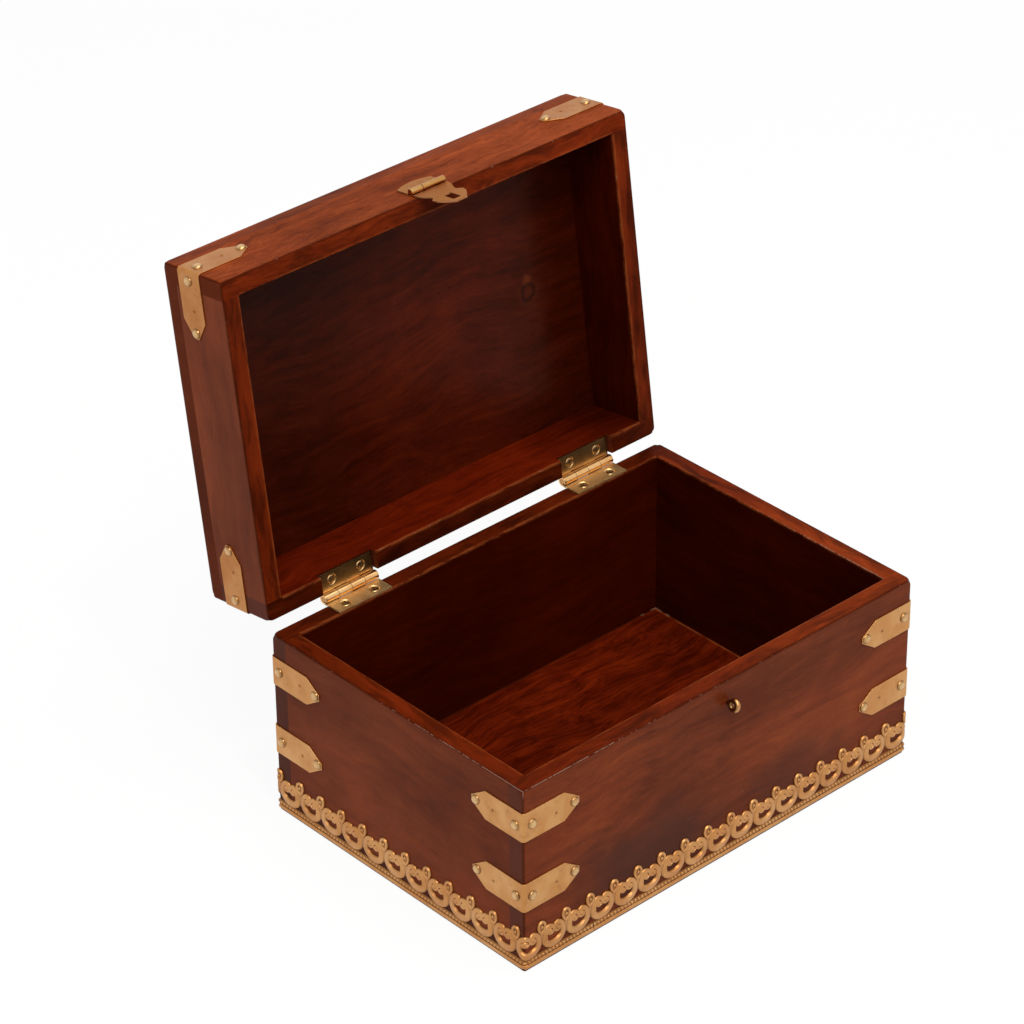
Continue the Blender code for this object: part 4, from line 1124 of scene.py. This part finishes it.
def make_trim(sizes, material):
    """Stamped strip round the foot: a half-round band, a row of beads, and rings with scrolls and finials."""
    low, high = node_box("base_trim")
    girth = ways_round_box(sizes.corner)[2][-1]
    repeats = round(girth / TRIM_PITCH)
    pitch = girth / repeats
    share = np.array([pitch / MOTIF_PITCH, (high[2] - low[2]) / MOTIF_HEIGHT])
    relief = sizes.trim_relief
    seam_finial = SEAM_FINIAL + 2.0 * pitch
    seam = seam_finial + SEAM_STEP
    mirrored = np.array([-1.0, 1.0, 1.0])
    path, width, ridge = trim_ring(share)
    right = tube(sweep_rib(path, width, relief, ridge))
    left = (right[0] * mirrored, right[1])
    boss = stamped_dome([[1.4, 0.0], [1.28, 0.7], [0.85, 1.08], [0.2, 1.2]], [share[0], relief], 10)
    eye = np.array([SCROLL_EYE[0] * share[0], 0.0, SCROLL_EYE[1] * share[1]])
    bosses = repeat_shape(boss, [eye, eye * mirrored])
    finial = repeat_shape(trim_finial(share, relief), [[pitch / 2.0, 0.0, 0.0]])
    motif = join_shapes([right, left, bosses, finial])
    rings = seam_finial + (np.arange(repeats) + 0.5) * pitch
    motifs = repeat_shape(motif, stacked(rings, 0.0, 0.0))
    bead_profile = [[0.92, 0.0], [0.78, 0.55], [0.38, 0.9]]
    bead_lift = [0.0, relief * BEAD_LIFT, BEAD_LEVEL * share[1]]
    bead = stamped_dome(bead_profile, [share[0], relief * BEAD_RISE], 8, bead_lift)
    bead_ways = seam + (np.arange(repeats * BEADS_PER_RING) + 0.5) * pitch / BEADS_PER_RING
    beads = repeat_shape(bead, stacked(bead_ways, 0.0, 0.0))
    run = np.linspace(seam + SEAM_GAP, seam + girth - SEAM_GAP, repeats * RUN_STEPS_PER_RING)
    ribs = ((BAND_LEVEL, BAND_LEVEL, 1.0), (BEAD_LEVEL, STRIP_HALF, STRIP_RISE))
    band, strip = [
        tube(sweep_rib(stacked(run, level * share[1]), half * share[1], relief * rise))
        for level, half, rise in ribs
    ]
    flat, faces = join_shapes([motifs, beads, band, strip])
    values = {"grain": flat[:, [0, 2, 1]], "relief": np.clip(flat[:, 1] / relief, 0.0, 1.0)}
    points = wrap_round_box(flat + [0.0, sizes.seat, low[2]], sizes.corner)
    put_piece("base_trim", "stamped", points, faces, material, values)


PIN_ROOM = 0.00025
KNUCKLE_GAP = 0.00012
BARREL_REACH = 1.02
ROLL_TURN = math.radians(290.0)
SLIT_ROOM = {"box": 0.0002, "lid": 0.00003}
SLIT_LEAN = 0.0008
SAME_LINE = 1e-9
DISH_RADIUS, DISH_FLOOR, DISH_DEPTH = 0.0028, 0.0023, 0.0006
# Reach of the painted shade on the lid's leaf, beyond its slot.
LID_LEAF_SHADE = 0.0035
# Distances from a screw and from the slot's edge between which the painted shade ends.
SCREW_SHADE, EDGE_SHADE = (0.0017, 0.0029), (0.0001, 0.0006)
SLIT_LINES = np.array([0.0002, 0.0005])


def roll_sheet(x, way, depth, outer, thickness):
    """Sheet rolled round a pin: past way 0 it is flat, and before it, it follows circles round the pin.

    Returns the distance along the pin, along the leaf and over the leaf, from the pin's axis.
    """
    turn = np.maximum(-way / (outer - thickness / 2.0), 0.0)
    radius = outer - depth
    along = np.maximum(way, 0.0) - radius * np.sin(turn)
    return x, along, -radius * np.cos(turn)


def knuckle_lines(half, splits):
    """Places along a hinge: the ends of its knuckles, and steps between them."""
    ends = np.concatenate([[-half], splits, [half]])
    return np.unique(np.round(np.concatenate([np.linspace(a, b, 5) for a, b in zip(ends, ends[1:])]), 7))


def roll_lines(outer, thickness, foot, reach, steps):
    """Places along a leaf, from the free end of its roll, past its foot to its far edge."""
    tab = ROLL_TURN * (outer - thickness / 2.0)
    return np.concatenate([np.linspace(-tab, 0.0, 30), [foot], np.linspace(foot, reach, steps + 1)[1:]])


def rolled_faces(points, faces, pin, outer):
    """Which faces of a rolled sheet are those of its barrel, by their distance from the pin's Y and Z."""
    middles = np.concatenate([points[group].mean(axis=1) for group in faces])
    return np.hypot(*(middles[:, 1:] - pin).T) < BARREL_REACH * outer


def screw_places(side, owner):
    """Middles of a leaf's two screws, seen from above."""
    boxes = [node_box(f"{side}_hinge_{owner}_screw_{number}") for number in (1, 2)]
    return np.array([(low + high)[:2] / 2.0 for low, high in boxes])


def make_hinge_leaf(side, owner, into, sizes, material, barrel):
    """Leaf of a butt hinge: a tabbed sheet whose tabs are rolled into every other knuckle.

    Its outer face sinks in a round dish at each screw. Where the other leaf's knuckle is, the back of the
    slot's edge leans towards it.
    """
    node = f"{side}_hinge_{owner}_leaf"
    low, high = node_box(node)
    pin_low, pin_high = node_box(f"{side}_hinge_pin")
    pin_y, pin_z = ((pin_low + pin_high) / 2.0)[1:]
    middle = (low[0] + high[0]) / 2.0
    half = (high[0] - low[0]) / 2.0
    pitch = half / 2.0
    first = 0 if owner == "box" else 1
    outer = high[1] - pin_y
    thickness = outer - (pin_high[1] - pin_low[1]) / 2.0 - PIN_ROOM
    slit = math.sqrt(outer**2 - (outer - thickness) ** 2) + SLIT_ROOM[owner]
    screws = screw_places(side, owner) - [middle, 0.0]
    screws[:, 1] = pin_y - screws[:, 1]
    splits = np.ravel([[split - KNUCKLE_GAP, split + KNUCKLE_GAP] for split in (-pitch, 0.0, pitch)])
    near_screws = [screw + CLOSE_LINES for screw in screws[:, 0]]
    x = np.unique(np.concatenate([knuckle_lines(half, splits), *near_screws]))
    way = roll_lines(outer, thickness, slit, pin_y - low[1], 8)
    way = np.unique(np.concatenate([way, screws[0, 1] + CLOSE_LINES, slit + SLIT_LINES]))
    grid_x, grid_way = np.meshgrid(x, way, indexing="ij")
    middles = cell_middles(x)
    knuckle = (middles + half) / pitch
    between = np.abs(knuckle - np.round(knuckle)) * pitch < KNUCKLE_GAP
    own = (np.floor(knuckle) % 2 == first) & ~(between & (np.abs(middles) < half - pitch / 2.0))
    keep = own[:, None] | (cell_middles(way) > slit)[None, :]
    reach = np.min([np.hypot(grid_x - place[0], grid_way - place[1]) for place in screws], axis=0)
    dish = DISH_DEPTH * ramp(reach, DISH_RADIUS, DISH_FLOOR)
    inner = np.concatenate([[False], ~own[1:] & ~own[:-1], [False]])
    lean = SLIT_LEAN * (np.abs(way - slit) < SAME_LINE)[None, :] * inner[:, None]

    def surface(depth, way_in):
        pin_x, along, over = roll_sheet(grid_x, way_in, depth, outer, thickness)
        return stacked(middle + pin_x, pin_y - along, pin_z - into * over)

    points, faces = sheet_shell(surface(thickness - dish, grid_way), surface(0.0, grid_way - lean), keep)
    from_pin = pin_y - points[:, 1]
    from_middle = points[:, 0] - middle
    far = np.min([np.hypot(from_middle - place[0], from_pin - place[1]) for place in screws], axis=0)
    others = np.floor((from_middle + half) / pitch) % 2 == 1 - first
    edge = np.where(others, np.abs(from_pin - slit), 1.0)
    # Painted shade: dark round each screw's head and along the slot's edges.
    relief = np.minimum(ramp(far, *SCREW_SHADE), ramp(edge, *EDGE_SHADE))
    # Painted shade on the lid's leaf, standing in for the dark wood that it mirrors.
    if owner == "lid":
        relief = np.minimum(relief, np.clip(1.0 - (from_pin - slit) / LID_LEAF_SHADE, 0.1, 1.0))
    second = barrel, rolled_faces(points, faces, (pin_y, pin_z), outer)
    values = {"grain": points, "relief": relief}
    put_piece(node, "sheet", points, faces, material, values, sizes.leaf_edge, second)


CROSS_HALF, CROSS_REACH, CROSS_DEPTH, CROSS_SLOPE = 0.00036, 0.0015, 0.0009, 0.00012
HEAD_CROWN, HEAD_EDGE, HEAD_SUNK = 0.0002, 0.00025, 0.00012
EDGE_START = 0.85
# How far each screw's cross is turned from the next, by its side and its place.
CROSS_TURN, TURN_BY_PLACE = 0.4, 90.0
# The screw below its head: shares of the head's radius, and heights.
SCREW_BELOW = np.array([(0.9, -0.0007), (0.45, -0.0014), (0.44, -0.009), (0.10, -0.012)])


def make_screw(node, into, sizes, material):
    """Countersunk screw's head with a cross cut in it, over a plain shank.

    The head's height falls to the floor of the cross where either arm is wider than the distance to its axis.
    """
    low, high = node_box(node)
    x, y, _ = (low + high) / 2.0
    top = high[2] if into < 0 else low[2]
    radius = sizes.screw_radius
    angles = turns(64) + CROSS_TURN * (into + x * TURN_BY_PLACE)
    share = np.concatenate([np.linspace(0.03, 0.78, 17), [EDGE_START, 0.91, 0.96, 1.0]])[:, None]
    across = np.abs(share * radius * np.cos(angles - angles[0]))
    beyond = np.abs(share * radius * np.sin(angles - angles[0]))
    arms = [
        ramp(off, CROSS_HALF, CROSS_HALF - CROSS_SLOPE) * (along < CROSS_REACH)
        for off, along in ((across, beyond), (beyond, across))
    ]
    cross = np.maximum(*arms)
    edge = ramp(share, EDGE_START, 1.0)
    height = HEAD_CROWN * (1.0 - share**2) - HEAD_EDGE * edge - CROSS_DEPTH * cross - HEAD_SUNK
    below = SCREW_BELOW[:, None]
    rows = [
        stacked(part * radius * np.cos(angles), part * radius * np.sin(angles), rise)
        for part, rise in ((share, height), (below[..., 0], below[..., 1]))
    ]
    shape, faces = tube(np.concatenate(rows))
    # Painted shade: the relief darkens the cross and the edge of the head.
    relief = np.concatenate([np.ravel(1.0 - cross - 0.4 * edge), np.full(len(shape) - cross.size, 0.2)])
    relief[-2] = 0.0
    points = stacked(x + shape[:, 0], y + shape[:, 1], top - into * shape[:, 2])
    put_piece(node, "head", points, faces, material, {"relief": relief})


HASP_THICKNESS, HASP_FOOT = 0.0006, 0.0003
PLATE_KNUCKLE, LEAF_KNUCKLE = 0.0074, 0.0071
PLATE_ARCH = 0.0027
PLATE_SPLIT = 0.0002
SLOT_HALF, SLOT_START, SLOT_END = 0.0023, 0.0140, 0.0214
LINE_INSETS, LINE_WIDTH, LINE_DEPTH = (0.0011, 0.0019), 0.00018, 0.00012
LINES_FROM = 0.001
LIP_LENGTH, LIP_RISE = 0.0018, 0.0008
HASP_RELIEF, SPLIT_STEP = 0.9, 0.012


def hasp_centre():
    """Middle of the hasp's pin with the lid shut, and the pin's half length."""
    low, high = node_box("hasp_pin")
    return (low + high) / 2.0, (high[0] - low[0]) / 2.0


def put_hasp_sheet(node, down, grid_x, grid_way, depths, outer, keep, sizes, materials):
    """Hasp's plate or leaf: the front and back of its grid, rolled round the pin with the lid shut.

    down is 1 for the leaf, which hangs, and -1 for the plate. The barrel has the second material.
    """
    centre, _ = hasp_centre()
    grids = []
    for depth in depths:
        x, along, over = roll_sheet(grid_x, grid_way, depth, outer, HASP_THICKNESS)
        grids.append(stacked(centre[0] + x, centre[1] - over, centre[2] - down * along))
    points, faces = sheet_shell(*grids, keep)
    values = {"grain": points, "relief": np.full(len(points), HASP_RELIEF)}
    second = materials[1], rolled_faces(points, faces, centre[1:], outer)
    put_piece(node, "sheet", points, faces, materials[0], values, sizes.sheet_edge, second)


def make_hasp_plate(sizes, materials):
    """Plate with a low arched top between sharp shoulders, rolled on the right of its foot round the pin."""
    _, high = node_box("hasp_plate")
    centre, half = hasp_centre()
    outer = high[1] - centre[1]
    foot = outer + HASP_FOOT
    reach = high[2] - centre[2]
    split = node_box("hasp_leaf")[0][0] - centre[0] + PLATE_KNUCKLE
    x = knuckle_lines(half, [split - PLATE_SPLIT, split + PLATE_SPLIT])
    x = np.unique(np.concatenate([x, np.linspace(-half, half, 41)]))
    top = reach - PLATE_ARCH * (x / half) ** 2
    way = roll_lines(outer, HASP_THICKNESS, foot, reach, 12)
    raised = np.clip((way - foot) / (reach - foot), 0.0, 1.0)
    grid_way = np.where(raised > 0.0, foot + raised * (top[:, None] - foot), way)
    grid_x = np.broadcast_to(x[:, None], grid_way.shape)
    keep = (cell_middles(x) > split)[:, None] | (cell_middles(way) > foot)[None, :]
    depths = (HASP_THICKNESS, 0.0)
    put_hasp_sheet("hasp_plate", -1.0, grid_x, grid_way, depths, outer, keep, sizes, materials)


def leaf_half_width(way, reach):
    """Half width of the hasp's leaf along it: an ogee from root to waist, then a lobe that tapers to a tip.

    The lobe's share of its width is the 1.5th power of 1 less the square of the share of its length.
    """
    root, waist, lobe, tip = 0.0104, 0.0072, 0.0094, 0.0024
    ogee_start, ogee_end, lobe_full = 0.0035, 0.0125, 0.0145
    ease = ramp(way, ogee_start, ogee_end)
    ogee = root + (waist - root) * ease * ease * (3.0 - 2.0 * ease)
    tapered = tip + (lobe - tip) * (1.0 - ramp(way, lobe_full, reach) ** 2) ** 1.5
    return ogee + (tapered - ogee) * ramp(way, ogee_end, lobe_full)


def make_hasp_leaf(sizes, materials):
    """Slotted leaf rolled on the left of its root round the pin, with cut border lines and a lip at its tip.

    Lines across it are fixed beside the slot, and run out from there to the outline. The front sinks a little
    along two lines inside the outline, and the sheet rises in a short curve at the tip.
    """
    low, high = node_box("hasp_leaf")
    centre, half = hasp_centre()
    outer = high[1] - centre[1]
    foot = outer + HASP_FOOT
    reach = centre[2] - low[2]
    split = low[0] - centre[0] + LEAF_KNUCKLE
    split_share = (-split - SLOT_HALF) / (half - SLOT_HALF)
    beyond = [np.linspace(SLOT_START, SLOT_END, 24)[1:], np.linspace(SLOT_END, reach, 26)[1:]]
    way = np.concatenate([roll_lines(outer, HASP_THICKNESS, foot, SLOT_START, 30), *beyond])
    split_lines = [split_share - SPLIT_STEP, split_share + SPLIT_STEP]
    share = np.unique(np.concatenate([np.linspace(0.0, 1.0, 22), split_lines]))
    widths = leaf_half_width(np.maximum(way, 0.0), reach)
    side = SLOT_HALF + share[:, None] * (widths - SLOT_HALF)
    inner = np.broadcast_to(np.linspace(-SLOT_HALF, SLOT_HALF, 9)[1:-1, None], (7, len(way)))
    grid_x = np.concatenate([-side[::-1], inner, side])
    grid_way = np.broadcast_to(way, grid_x.shape)
    middle_way = cell_middles(way)
    root_x = cell_middles(grid_x[:, 0])
    beside_slot = (middle_way > SLOT_START) & (middle_way < SLOT_END)
    in_slot = (np.abs(root_x) < SLOT_HALF)[:, None] & beside_slot[None, :]
    keep = ((root_x < split)[:, None] | (middle_way > foot)[None, :]) & ~in_slot
    inset = widths - np.abs(grid_x)
    lines = sum(bell(inset, line, LINE_WIDTH) for line in LINE_INSETS) * (grid_way > SLOT_START + LINES_FROM)
    lip = LIP_RISE * ramp(grid_way, reach - LIP_LENGTH, reach) ** 2
    depths = (HASP_THICKNESS - LINE_DEPTH * lines + lip, lip)
    put_hasp_sheet("hasp_leaf", 1.0, grid_x, grid_way, depths, outer, keep, sizes, materials)


EYE_TWIST = math.radians(17.0)
EYE_THICKER, EYE_WIDER = 1.5, 0.0002
# Turn round the wire at which it is palest.
EYE_PALE = 0.5
# The eye's shank: shares of its length from the ring, and of the wire's radius there.
SHANK_PARTS = np.array([0.0, 0.06, 0.12, 0.2, 0.35, 0.5, 1.0])[:, None]
SHANK_SIZES = np.array([1.25, 1.2, 1.08, 1.0, 1.0, 1.0, 0.7])[:, None]


def make_eye(material):
    """Screw eye: a ring of wire that leans to the right, a neck that grows into it, and a shank."""
    low, high = node_box("screw_eye")
    wire = EYE_THICKER * (high[0] - low[0]) / 2.0
    outer = (high[2] - low[2]) / 2.0
    ring = outer - wire + EYE_WIDER
    centre = np.array([(low[0] + high[0]) / 2.0, low[1] + outer, (low[2] + high[2]) / 2.0])
    turn, around = turns(48)[:, None], turns(16)
    reach = ring + wire * np.cos(around)
    rows = stacked(wire * np.sin(around), reach * np.cos(turn), reach * np.sin(turn))
    cos, sin = math.cos(EYE_TWIST), math.sin(EYE_TWIST)
    lean = np.array([[cos, 0.0, -sin], [0.0, 1.0, 0.0], [sin, 0.0, cos]])
    torus = tube(rows @ lean + centre, closed=True)
    length = high[1] - centre[1] - ring
    radius = wire * SHANK_SIZES
    shank = stacked(radius * np.cos(around), ring + length * SHANK_PARTS, radius * np.sin(around))
    shank = tube(shank + centre)
    points, faces = join_shapes([torus, shank])
    # Painted shade: the ring is darker on its inner side.
    outward = np.tile(0.5 + 0.5 * np.cos(around - EYE_PALE), len(turn))
    relief = np.concatenate([outward, np.zeros(len(shank[0]))])
    put_piece("screw_eye", "wire", points, faces, material, {"relief": relief})


CAMERA_PLACE = (-1.11579, -1.17116, 1.16470)
CAMERA_HEADING = math.radians(-42.26)
CAMERA_TILT = math.radians(57.954)
CAMERA_ROLL = math.radians(-0.589)
CAMERA_LENS, CAMERA_SENSOR = 145.33, 36.0
CAMERA_NEAR, CAMERA_FAR = 0.05, 50.0
FLOOR_HALF = 6.0
FLOOR_GLOW = 0.92
WORLD_LIGHT = 0.55
# Each lamp: name, place, size, power and warmth. All point at one place in the box.
LAMPS = [
    ("key_lamp", (-0.75, -0.85, 1.55), 1.1, 16.0, (1.0, 0.98, 0.95)),
    ("top_lamp", (0.25, -0.35, 1.7), 1.2, 12.0, (1.0, 0.99, 0.97)),
    ("small_lamp", (-0.35, -0.75, 1.75), 0.14, 6.0, (1.0, 0.98, 0.95)),
]
LAMP_AIM = np.array([0.0, 0.02, 0.10])


def make_floor(colour):
    """Plain pale floor that looks near white, and still takes the box's shadow."""
    mesh = bpy.data.meshes.new("floor")
    half = FLOOR_HALF
    corners = [(-half, -half, 0), (half, -half, 0), (half, half, 0), (-half, half, 0)]
    mesh.from_pydata(corners, [], [(0, 1, 2, 3)])
    sheet = NodeSheet(bpy.data.materials.new("floor"))
    sheet.set(Base_Color=colour, Roughness=1.0, Specular_IOR_Level=0.0)
    share = sheet.times(sheet.seen_directly(), FLOOR_GLOW)
    inputs = {0: share, 1: sheet.shader.outputs[0], 2: sheet.add("ShaderNodeEmission")}
    mixed = sheet.add("ShaderNodeMixShader", 0, inputs)
    sheet.put(sheet.tree.nodes["Material Output"].inputs["Surface"], mixed)
    mesh.materials.append(sheet.owner)
    floor = bpy.data.objects.new("floor", mesh)
    bpy.context.scene.collection.objects.link(floor)


def make_world(scene):
    """Even white light all round, and a white view behind the floor's edge."""
    sheet = NodeSheet(bpy.data.worlds.new("studio"), "Background")
    inputs = {"Value": sheet.seen_directly(), "To Min": WORLD_LIGHT, "To Max": 1.0}
    sheet.set(Color=WHITE, Strength=sheet.add("ShaderNodeMapRange", 0, inputs))
    scene.world = sheet.owner


def look_rows(place, aim):
    """Rows of the turn that points -Z from a place at an aim, with X level."""
    back = (place - aim) / np.linalg.norm(place - aim)
    right = np.cross([0.0, 0.0, 1.0], back)
    right /= np.linalg.norm(right)
    return stacked(right, np.cross(back, right), back).tolist()


def make_lamps(scene):
    """Round lamps above the box."""
    for name, place, size, power, colour in LAMPS:
        light = bpy.data.lights.new(name, "AREA")
        light.shape = "DISK"
        light.size = size
        light.energy = power
        light.color = colour
        lamp = bpy.data.objects.new(name, light)
        scene.collection.objects.link(lamp)
        lamp.location = place
        lamp.rotation_euler = Matrix(look_rows(np.array(place), LAMP_AIM)).to_euler()


def make_camera(scene):
    """Camera at the photograph's viewing angle."""
    camera = bpy.data.objects.new("camera", bpy.data.cameras.new("camera"))
    scene.collection.objects.link(camera)
    turn = Matrix.Rotation(CAMERA_HEADING, 4, "Z") @ Matrix.Rotation(CAMERA_TILT, 4, "X")
    turn = turn @ Matrix.Rotation(CAMERA_ROLL, 4, "Z")
    camera.matrix_world = Matrix.Translation(CAMERA_PLACE) @ turn
    camera.data.lens = CAMERA_LENS
    camera.data.sensor_width = CAMERA_SENSOR
    camera.data.clip_start = CAMERA_NEAR
    camera.data.clip_end = CAMERA_FAR
    scene.camera = camera


class MakeBoxBoards(bpy.types.Operator):
    """Make the boards of the box"""

    bl_idname = "jewellery_box.box_boards"
    bl_label = "Box Boards"

    def execute(self, context):
        make_boards(context, "box")
        return {"FINISHED"}


class MakeLidBoards(bpy.types.Operator):
    """Make the panel and the rails of the lid"""

    bl_idname = "jewellery_box.lid_boards"
    bl_label = "Lid Boards"

    def execute(self, context):
        make_boards(context, "lid")
        return {"FINISHED"}


class MakeStraps(bpy.types.Operator):
    """Make the corner straps and their dome nails"""

    bl_idname = "jewellery_box.straps"
    bl_label = "Corner Straps"

    def execute(self, context):
        sizes, colours = settings(context)
        sheets = {"box": brass("strap_brass", colours), "lid": brass("lid_strap_brass", colours)}
        for node in STRAPS:
            make_strap(node, sizes, sheets[BODY_OF[node]], brass("nail_brass", colours))
        return {"FINISHED"}


class MakeTrim(bpy.types.Operator):
    """Make the stamped trim round the foot"""

    bl_idname = "jewellery_box.trim"
    bl_label = "Base Trim"

    def execute(self, context):
        sizes, colours = settings(context)
        make_trim(sizes, brass("stamped_brass", colours))
        return {"FINISHED"}


class MakeHinges(bpy.types.Operator):
    """Make the leaves and screws of the two hinges, and finish their pins"""

    bl_idname = "jewellery_box.hinges"
    bl_label = "Hinges"

    def execute(self, context):
        sizes, colours = settings(context)
        names = ("drawn_brass", "screw_metal", "knuckle_brass_painted_highlight")
        drawn, screws, knuckle = [brass(name, colours) for name in names]
        for side in SIDES:
            finish_node(f"{side}_hinge_pin", drawn)
            for owner, into in (("box", -1.0), ("lid", 1.0)):
                make_hinge_leaf(side, owner, into, sizes, brass(f"{owner}_leaf_brass", colours), knuckle)
                for number in (1, 2):
                    make_screw(f"{side}_hinge_{owner}_screw_{number}", into, sizes, screws)
        return {"FINISHED"}


class MakeHasp(bpy.types.Operator):
    """Make the hasp's plate and leaf, and finish its pin and brads"""

    bl_idname = "jewellery_box.hasp"
    bl_label = "Hasp"

    def execute(self, context):
        sizes, colours = settings(context)
        materials = brass("hasp_brass", colours), brass("barrel_brass_painted_highlight", colours)
        make_hasp_plate(sizes, materials)
        make_hasp_leaf(sizes, materials)
        for node in ("hasp_pin", "hasp_plate_brad_1", "hasp_plate_brad_2"):
            finish_node(node, brass("drawn_brass", colours))
        return {"FINISHED"}


class MakeEye(bpy.types.Operator):
    """Make the screw eye"""

    bl_idname = "jewellery_box.eye"
    bl_label = "Screw Eye"

    def execute(self, context):
        make_eye(brass("eye_brass", settings(context)[1]))
        return {"FINISHED"}


class MakeStage(bpy.types.Operator):
    """Make the floor, the light and the camera"""

    bl_idname = "jewellery_box.stage"
    bl_label = "Stage"

    def execute(self, context):
        scene = context.scene
        make_floor(scene.jewellery_box_colours.floor)
        make_world(scene)
        make_lamps(scene)
        make_camera(scene)
        scene.view_settings.view_transform = "Standard"
        return {"FINISHED"}


OPERATORS = (MakeBoxBoards, MakeLidBoards, MakeStraps, MakeTrim, MakeHinges, MakeHasp, MakeEye, MakeStage)


class JewelleryBoxPanel(bpy.types.Panel):
    """Lists the steps that make the jewellery box, and its sizes and colours"""

    bl_idname = "VIEW3D_PT_jewellery_box"
    bl_label = "Jewellery Box"
    bl_space_type = "VIEW_3D"
    bl_region_type = "UI"
    bl_category = "Jewellery Box"

    def draw(self, context):
        layout = self.layout
        for operator in OPERATORS:
            layout.operator(operator.bl_idname)
        for group in settings(context):
            for name in group.__annotations__:
                layout.prop(group, name)


CLASSES = (JewelleryBoxSizes, JewelleryBoxColours, *OPERATORS, JewelleryBoxPanel)


def register():
    for cls in CLASSES:
        bpy.utils.register_class(cls)
    bpy.types.Scene.jewellery_box_sizes = PointerProperty(type=JewelleryBoxSizes)
    bpy.types.Scene.jewellery_box_colours = PointerProperty(type=JewelleryBoxColours)


def unregister():
    del bpy.types.Scene.jewellery_box_colours
    del bpy.types.Scene.jewellery_box_sizes
    for cls in reversed(CLASSES):
        bpy.utils.unregister_class(cls)


def main():
    register()
    bpy.ops.jewellery_box.box_boards()
    bpy.ops.jewellery_box.lid_boards()
    bpy.ops.jewellery_box.straps()
    bpy.ops.jewellery_box.trim()
    bpy.ops.jewellery_box.hinges()
    bpy.ops.jewellery_box.hasp()
    bpy.ops.jewellery_box.eye()
    bpy.ops.jewellery_box.stage()


if __name__ == "__main__":
    main()
